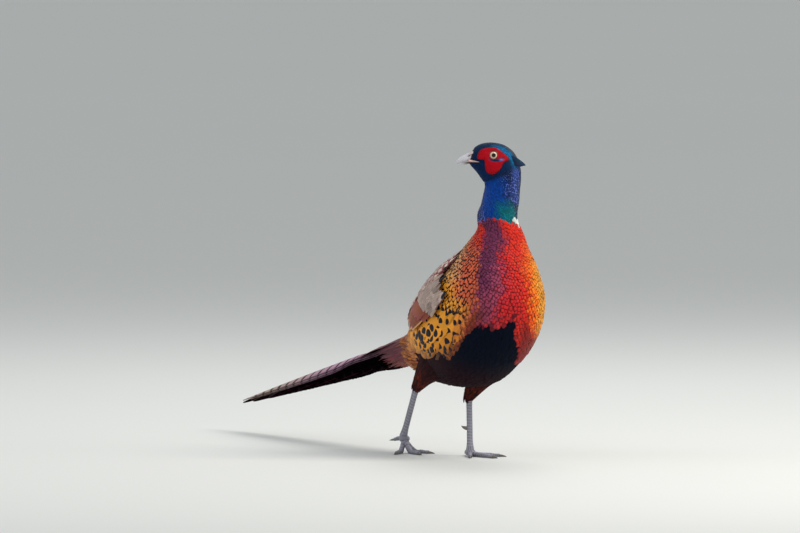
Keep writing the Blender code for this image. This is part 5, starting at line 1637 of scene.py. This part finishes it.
class MakeTail(bpy.types.Operator):
    """The long graded tail feathers, stacked like a roof, and the coverts on their roots"""

    bl_idname = "pheasant.tail"
    bl_label = "Tail"

    def execute(self, context):
        rng = np.random.default_rng(SEED + 4)
        material, layer, nodes = tail_plumage(), 0, ("tail",)
        for pair in range(sizes().tail_pairs):
            for word, side in reversed(SIDES):
                name = f"tail_feather_{pair + 1}_{word}"
                body, layers = self.feather(pair, side, layer, rng)
                dressed(name, body, material, "tail_feathers", *nodes, **layers)
                layer, nodes = layer + 1, ()
        self.coverts(rng)
        return {"FINISHED"}

    def coverts(self, rng):
        """The long upper coverts, maroon and then lilac, that lie on the tail."""
        count = 64
        roof = Surface(tail_roof)
        share = np.linspace(1.0, 0.0, count)
        q = 2.6 + 5.9 * share + rng.uniform(-0.4, 0.4, count)
        reach = np.interp(q, [2.6, 8.5], [2.2, 1.5])
        phi = reach * np.linspace(-1, 1, 11)[(np.arange(count) * 7) % 11] * rng.uniform(0.7, 1.0, count)
        length = rng.uniform(0.050, 0.072, count)
        path = run_on(roof, q, phi, length, BROAD.stops, rng.normal(0.0, 0.03, count))
        width = rng.uniform(0.0060, 0.0085, count)
        lift = 0.0004 + 0.0022 * np.outer(1 - share, 1 - smooth(BROAD.stops, 0.3, 1.0))
        grid = lay_feathers(roof, BROAD, path, width, lift, 0.0 * width)
        look = plain_look(count, "rump")
        tinted(look, "tail", 0.55 * share * rng.uniform(0.3, 1.0, count), 0.8)
        look["rim"] = rimmed(tone("tail") * 0.9, 0.75 * share, count)
        material = plumage("long covert plumage", 0.6, specular=0.1, barbs=0.5, rim_at=(0.66, 0.96))
        place = np.stack([0.5 + phi * 0.1, 0.1 + q * 0.05], -1)
        feather_piece("tail_covert_quills", BROAD, grid, place, look, material, rng, "rump_feathers")

    def feather(self, pair, side, layer, rng):
        """One tail feather as a body and its layers; a higher layer number lies lower."""
        length = sizes().tail_length * TAIL_SHARES[pair] * (1.0 + 0.012 * side)
        rows, columns = 90, 17
        share = np.linspace(0, 1, rows) ** 0.92
        width = TAIL_HALF_WIDTHS[pair] * along_line(TAIL_OUTLINE, share)
        width = np.convolve(np.pad(width, 4, mode="edge"), np.ones(9) / 9, mode="valid")
        width = width * np.sqrt(np.clip((1.0 - share) / 0.015, 0.0, 1.0) * 0.9 + 0.1)
        along = 0.008 + (length - 0.008) * share
        root_side, full_side = 0.0015 + 0.0010 * pair, 0.0030 + 0.0019 * pair
        middle = side * (root_side + (full_side - root_side) * smooth(along, 0.0, 0.10))
        s = np.linspace(-1, 1, columns)
        fray = 0.00035 * np.sin(along * 900 + rng.uniform(0, 6)) + rng.normal(0, 0.00016, rows)
        x = middle[:, None] + (width + fray * (width > 0.004))[:, None] * s
        up = TAIL_TOP - layer * TAIL_LAYER - roof_drop(along[:, None], x)
        shaft = 0.0005 * np.exp(-((s / 0.05) ** 2))
        top = tail_point(along[:, None] + 0 * x, x, up + 0.0003 + shaft)
        under = tail_point(along[:, None] + 0 * x, x, up - 0.0003 - shaft * 0.5)
        points, faces = tube_arrays(np.concatenate([top, under[:, ::-1]], axis=1))
        around = 2 * columns
        s_along = (np.tile(np.append(s, s[::-1]), rows), np.repeat(share, around))
        own = np.stack([*s_along, np.full(rows * around, rng.random())], -1)
        own = np.concatenate([own, [[0, 0, 0], [0, 1, 0]]])
        metres = np.append(np.repeat(along, around), [along[0], along[-1]])
        # From the third pair outward the feathers are painted darker, towards half the bar colour: partly
        # their own darker colour, partly a painted shade on the tail's lower side.
        count, outer = len(points), smooth(float(pair), 1.0, 3.0)
        paint = tone("tail") * (1 - outer) + tone("tail_bar_and_shade") * 0.5 * outer
        far = smooth(metres, 0.20, 0.42)[:, None] * (1 - outer)
        tint = np.column_stack([paint[None] * (1 - far) + tone("taupe") * 0.8 * far, np.ones(count)])
        rim = rimmed(tone("plum") * (1.1 - 0.5 * outer), 0.45 * (1 - outer), count)
        rim[:, 3] *= 1 - 0.8 * smooth(metres, 0.16, 0.36)
        # Each feather's underside is painted near black: a painted shade.
        below = np.append(np.tile(np.repeat([False, True], columns), rows), [False, False])
        tint[below, :3] = tone("tail_bar_and_shade") * 0.15
        rim[below, 3] = 0.0
        mark = np.zeros((count, 4))
        mark[:, 0], mark[:, 2] = metres, np.interp(metres, [0.05, 0.2, 0.4], [0.7, 0.9, 1.0])
        uv = np.stack([0.5 + points[:, 0] * 4, metres * 2 / 1.02], -1)
        return (points, faces), {"corner_uv": uv, "vane": own, "tint": tint, "rim": rim, "mark": mark}


SCUTES = 18
TOES = {
    "inner": (-34.0, 0.038, 0.0036, 0.0024),
    "middle": (0.0, 0.053, 0.0039, 0.0025),
    "outer": (36.0, 0.040, 0.0036, 0.0024),
}
HALLUX_LENGTH = 0.013
CLAW_LENGTH = 0.0105
TOE_SINK = 0.0006
GAP = 0.0003


def plates(count, share, angle, spread=1.15):
    """Relief of overlapping plates: rising slowly along each, dropping at its end, on the front."""
    step = (share * count) % 1.0
    face = np.clip(np.cos(np.clip(angle / spread, -math.pi / 2, math.pi / 2)), 0, 1) ** 0.4
    return (0.35 + 0.65 * step) * fade(step, 0.90, 1.0) * face, face


def scaly_tube(rings, relief):
    """A closed body with its relief, which is middling on the two ends."""
    return (*tube_arrays(rings), np.append(relief.ravel(), [0.5, 0.5]))


class MakeLegs(bpy.types.Operator):
    """Shanks with front plates and rear scales, feet, spurs and claws"""

    bl_idname = "pheasant.legs"
    bl_label = "Legs and feet"

    def execute(self, context):
        scaly, horn = scale_material(), horn_material()
        for word, side in SIDES:
            leg = LEGS[word]
            hock, foot = spot_at(leg["hock"]), spot_at(leg["foot"])
            self.shank(word, hock, foot, scaly)
            self.spur(word, side, hock, foot, horn)
            self.foot(word, side, hock, foot, leg["lift"], leg["heading"], scaly, horn)
        return {"FINISHED"}

    def shank(self, word, hock, foot, material):
        way = normalised(foot - hock)
        start = hock - way * 0.004
        end = foot + way * 0.001
        across = normalised(np.cross(way, FRONTWARD))
        front = np.cross(across, way)
        front = front * -np.sign(front[1])
        rows, sides = 320, 72
        share = np.linspace(0, 1, rows)[:, None]
        turn = np.linspace(-math.pi, math.pi, sides, endpoint=False)[None]
        joint = np.exp(-((share / 0.12) ** 2)) * 0.0022 + np.exp(-(((1 - share) / 0.09) ** 2)) * 0.0010
        raised, face = plates(SCUTES, share + 0.012 * np.abs(turn), turn)
        split = np.exp(-((turn / 0.05) ** 2)) * 0.6 * (share > 0.06)
        cells = 0.5 + 0.25 * (np.cos(share * 300 + turn * 2) + np.cos(turn * 11 + np.cos(share * 150) * 1.4))
        relief = face * raised * (1 - split) + (1 - face) * np.clip(cells, 0, 1) * 0.75
        out = 0.0007 * relief
        deep, wide = (0.0040 + joint + out) * np.cos(turn), (0.0033 + 0.7 * joint + out) * np.sin(turn)
        rings = start + (end - start) * share[..., None] + front * deep[..., None] + across * wide[..., None]
        *body, relief = scaly_tube(rings, relief)
        dressed(f"shank_{word}", body, material, "leg_scales", f"tarsus_{word}", relief=relief)

    def spur(self, word, side, hock, foot, material):
        root = hock + (foot - hock) * 0.64
        way = normalised(np.array([-side * 0.45, 0.86, 0.10]))
        curve = ((0.002, 0.0), (0.0065, 0.0), (0.0100, 0.0006), (0.0135, 0.0018))
        keys = [root + way * out + UP * up for out, up in curve]
        steps, sides = 40, 32
        at = np.linspace(0, len(keys) - 1, steps)
        radius = spline(np.array([[0.0030], [0.0024], [0.0015], [0.0002]]), at)[:, 0]
        body = tube_arrays(swept_rings(spline(keys, at), radius, sides))
        relief = np.append(np.repeat(np.linspace(0, 1, steps), sides), [0, 1])
        dressed(f"spur_horn_{word}", body, material, "claw_horn", f"spur_{word}", relief=relief)

    def foot(self, word, side, hock, foot, lift, leg_heading, material, horn):
        up_leg = normalised(hock - foot)
        ball = np.array([foot[0], foot[1], 0.0052 + lift + SHIFT[2]])
        parts = [self.ankle(ball, foot, up_leg), self.pad(ball)]
        for toe, (turn, length, root_radius, tip_radius) in TOES.items():
            heading = math.radians(leg_heading + side * turn)
            path, way = self.toe_path(ball, heading, lift, length, tip_radius)
            share = np.linspace(0, 1, len(path))
            radii = root_radius + (tip_radius - root_radius) * share
            path[:, 2] += radii - tip_radius
            parts.append(self.toe(path, radii, int(length / 0.0032)))
            base = path[-1] + way * GAP
            base[2] = path[-1][2] + 0.0002
            self.claw(f"{word}_{toe}", base, way, tip_radius * 0.72, 0.0013, horn)
        heading = math.radians(leg_heading - side * 20.0)
        back = -np.array([math.sin(heading), -math.cos(heading), 0.0])
        start = ball + UP * 0.0010
        tip = start + back * (HALLUX_LENGTH + 0.006) - UP * 0.0028
        keys = [start, (start + tip) / 2 + UP * 0.0006, tip]
        at = np.linspace(0, 2, 40)
        parts.append(self.toe(spline(keys, at), np.interp(at, [0, 1, 2], [0.0032, 0.0028, 0.0021]), 5))
        slope = normalised(tip - start)
        self.claw(f"{word}_hallux", tip + slope * GAP, slope, 0.0016, 0.0001, horn)
        points, faces, relief = joined(parts)
        points[:, 2] = np.maximum(points[:, 2], SHIFT[2])
        dressed(f"toes_{word}", (points, faces), material, "leg_scales", f"foot_{word}", relief=relief)

    def ankle(self, ball, foot, up_leg):
        keys = [ball - UP * 0.001, foot - up_leg * 0.004, foot + up_leg * 0.001]
        steps, sides = 36, 60
        at = np.linspace(0, 2, steps)
        radii = np.interp(at, [0, 1, 2], [0.0058, 0.0054, 0.0044])
        i, j = np.meshgrid(np.arange(steps), np.arange(sides), indexing="ij")
        relief = 0.5 + 0.25 * (np.cos(i * 1.5 + j * 0.3) + np.cos(j * 1.05))
        return scaly_tube(swept_rings(spline(keys, at), radii, sides), np.clip(relief, 0, 1))

    def pad(self, ball):
        fall, turn = np.linspace(0, math.pi, 42)[1:-1], full_turn(64)
        cells = 0.5 + 0.25 * (np.cos(fall * 26)[:, None] + np.cos(turn * 16)[None])
        x, y = np.sin(fall)[:, None] * np.cos(turn), np.sin(fall)[:, None] * np.sin(turn)
        z = np.cos(fall)[:, None] + 0 * turn
        grow = 1 + 0.03 * cells
        rings = ball + np.stack([x * 0.0070, y * 0.0076, z * 0.0048], -1) * grow[..., None]
        return scaly_tube(rings, cells)

    def toe_path(self, ball, heading, lift, length, radius):
        way = np.array([math.sin(heading), -math.cos(heading), 0.0])
        low = radius - TOE_SINK + SHIFT[2]
        start = np.array([ball[0], ball[1], low + lift + 0.0008])
        knuckle = start + way * length * (0.42 if lift else 0.16)
        knuckle[2] = low + 0.0002
        keys = np.array([start, knuckle, start + way * length * 0.72, start + way * length])
        keys[2:, 2] = low - 0.0003
        return spline(keys, np.linspace(0, 3, 140)), way

    def toe(self, path, radii, scutes):
        """A toe with plates over its top, fine scales on its sides and joint pads below."""
        rows, sides = len(path), 44
        share = np.linspace(0, 1, rows)[:, None]
        turn = np.linspace(-math.pi, math.pi, sides, endpoint=False)[None]
        raised, face = plates(scutes, share + 0 * turn, turn, 1.0)
        cells = 0.5 + 0.25 * (np.cos(share * scutes * 9 + turn) + np.cos(turn * 9))
        relief = face * raised + (1 - face) * np.clip(cells, 0, 1) * 0.7
        joints = 1.0 + 0.06 * np.cos(share * 6 * math.pi)
        radius = radii[:, None] * joints + 0.0003 * relief - 0.0001
        way = normalised(np.gradient(path, axis=0))
        across = normalised(np.cross(way, UP))
        over = np.cross(across, way)
        rings = path[:, None] + over[:, None] * (radius * np.cos(turn))[..., None]
        rings = rings + across[:, None] * (radius * np.sin(turn))[..., None]
        return scaly_tube(rings, relief)

    def claw(self, toe, base, way, radius, drop, material):
        share = np.array([0.0, 0.35, 0.7, 1.0])
        keys = base + way * CLAW_LENGTH * share[:, None] - UP * (drop * share**2)[:, None]
        steps, sides = 36, 28
        at = np.linspace(0, len(keys) - 1, steps)
        radii = spline(np.array([[1.0], [0.85], [0.5], [0.10]]) * radius, at)[:, 0]
        rings = swept_rings(spline(keys, at), np.stack([radii * 0.9, radii], -1), sides, front=UP)
        points, faces = tube_arrays(rings)
        points[:, 2] = np.maximum(points[:, 2], SHIFT[2])
        relief = np.append(np.repeat(np.linspace(0, 1, steps), sides), [0, 1])
        dressed(f"claw_horn_{toe}", (points, faces), material, "claw_horn", f"claw_{toe}", relief=relief)


PHOTO_AZIMUTH = math.radians(-28.0)
PHOTO_ELEVATION = math.radians(3.0)
# The camera looks at a point this far to its left of the bird's middle and this far up.
AIM_LEFT = 0.0907
AIM_UP = 0.2477
VIEW_WIDTH = 1.04
SENSOR_WIDTH = 36.0
SKY_COLOUR = (0.80, 0.84, 0.86, 1.0)
SKY_STRENGTH = 0.62
LIT_HEIGHT = 0.22
# Name, degrees to the right of the camera and up, distance, watts, size and colour
LIGHTS = (
    ("key", (58, 40), 2.6, 38.0, 1.3, (1.0, 0.96, 0.90)),
    ("fill", (-70, 24), 3.0, 14.0, 2.4, (0.90, 0.95, 1.0)),
    ("back", (165, 50), 2.6, 20.0, 1.6, (1.0, 1.0, 1.0)),
)


class MakeStage(bpy.types.Operator):
    """The floor, the lights and the camera"""

    bl_idname = "pheasant.stage"
    bl_label = "Studio stage"

    def execute(self, context):
        self.floor()
        self.sky(context.scene)
        view = context.scene.view_settings
        view.view_transform, view.look, view.exposure, view.gamma = "Standard", "None", 0.0, 1.0
        for row in LIGHTS:
            self.light(*row)
        self.camera(context.scene)
        return {"FINISHED"}

    def floor(self):
        count, sides = 24, 128
        turn, reach = full_turn(sides), np.geomspace(0.05, 60.0, count)
        flat = [np.outer(reach, np.cos(turn)).ravel(), np.outer(reach, np.sin(turn)).ravel()]
        points = np.column_stack([*flat, np.zeros(count * sides)])
        points = np.concatenate([points, np.zeros((1, 3))]) - UP * 0.0002
        j = np.arange(sides)
        middle = np.stack([np.full(sides, count * sides), j, (j + 1) % sides], -1)
        faces = np.concatenate([grid_triangles(count, sides)[:, ::-1], middle])
        floor = mesh_object("studio_floor", points, faces)
        floor.data.materials.append(floor_material())

    def sky(self, scene):
        world = bpy.data.worlds.new("studio") if scene.world is None else scene.world
        scene.world = world
        world.use_nodes = True
        background = world.node_tree.nodes["Background"]
        background.inputs["Color"].default_value = SKY_COLOUR
        background.inputs["Strength"].default_value = SKY_STRENGTH

    def light(self, name, direction, distance, watts, size, colour):
        centre = Vector((0.0, 0.0, LIT_HEIGHT))
        azimuth, height = (math.radians(v) for v in direction)
        lamp = bpy.data.lights.new(name, "AREA")
        lamp.shape, lamp.size, lamp.energy, lamp.color = "DISK", size, watts, colour
        obj = bpy.data.objects.new(name, lamp)
        flat, turn = math.cos(height), PHOTO_AZIMUTH + azimuth
        way = Vector((math.sin(turn) * flat, -math.cos(turn) * flat, math.sin(height)))
        obj.location = centre + way * distance
        obj.rotation_euler = (centre - obj.location).to_track_quat("-Z", "Y").to_euler()
        bpy.context.scene.collection.objects.link(obj)

    def camera(self, scene):
        a, e = PHOTO_AZIMUTH, PHOTO_ELEVATION
        right = Vector((math.cos(a), math.sin(a), 0.0))
        up = Vector((-math.sin(a) * math.sin(e), math.cos(a) * math.sin(e), math.cos(e)))
        back = Vector((math.sin(a) * math.cos(e), -math.cos(a) * math.cos(e), math.sin(e)))
        target = Vector((0.0, float(SHIFT[1]), 0.0)) - right * AIM_LEFT + up * AIM_UP
        lens = bpy.data.cameras.new("photo_camera")
        lens.sensor_width = SENSOR_WIDTH
        lens.lens = SENSOR_WIDTH * sizes().camera_distance / VIEW_WIDTH
        lens.clip_end = 200.0
        camera = bpy.data.objects.new("photo_camera", lens)
        camera.location = target + back * sizes().camera_distance
        camera.rotation_euler = (target - camera.location).to_track_quat("-Z", "Y").to_euler()
        scene.collection.objects.link(camera)
        scene.camera = camera


STEPS = (
    MakeSkin, MakeCoat, MakeFace, MakeBill, MakeTufts, MakeWings, MakeRump, MakeTail, MakeLegs, MakeStage,
)


class PheasantPanel(bpy.types.Panel):
    bl_idname = "VIEW3D_PT_pheasant"
    bl_label = "Cock pheasant"
    bl_space_type = "VIEW_3D"
    bl_region_type = "UI"
    bl_category = "Pheasant"

    def draw(self, context):
        for step in STEPS:
            self.layout.operator(step.bl_idname)
        for group in (context.scene.pheasant_sizes, context.scene.pheasant_colours):
            box = self.layout.box()
            for name in group.__annotations__:
                box.prop(group, name)


CLASSES = (PheasantColours, PheasantSizes, *STEPS, PheasantPanel)


def register():
    for each in CLASSES:
        bpy.utils.register_class(each)
    bpy.types.Scene.pheasant_colours = PointerProperty(type=PheasantColours)
    bpy.types.Scene.pheasant_sizes = PointerProperty(type=PheasantSizes)


def unregister():
    del bpy.types.Scene.pheasant_sizes
    del bpy.types.Scene.pheasant_colours
    for each in reversed(CLASSES):
        bpy.utils.unregister_class(each)


def main():
    register()
    for step in STEPS:
        group, name = step.bl_idname.split(".")
        getattr(getattr(bpy.ops, group), name)()


if __name__ == "__main__":
    main()
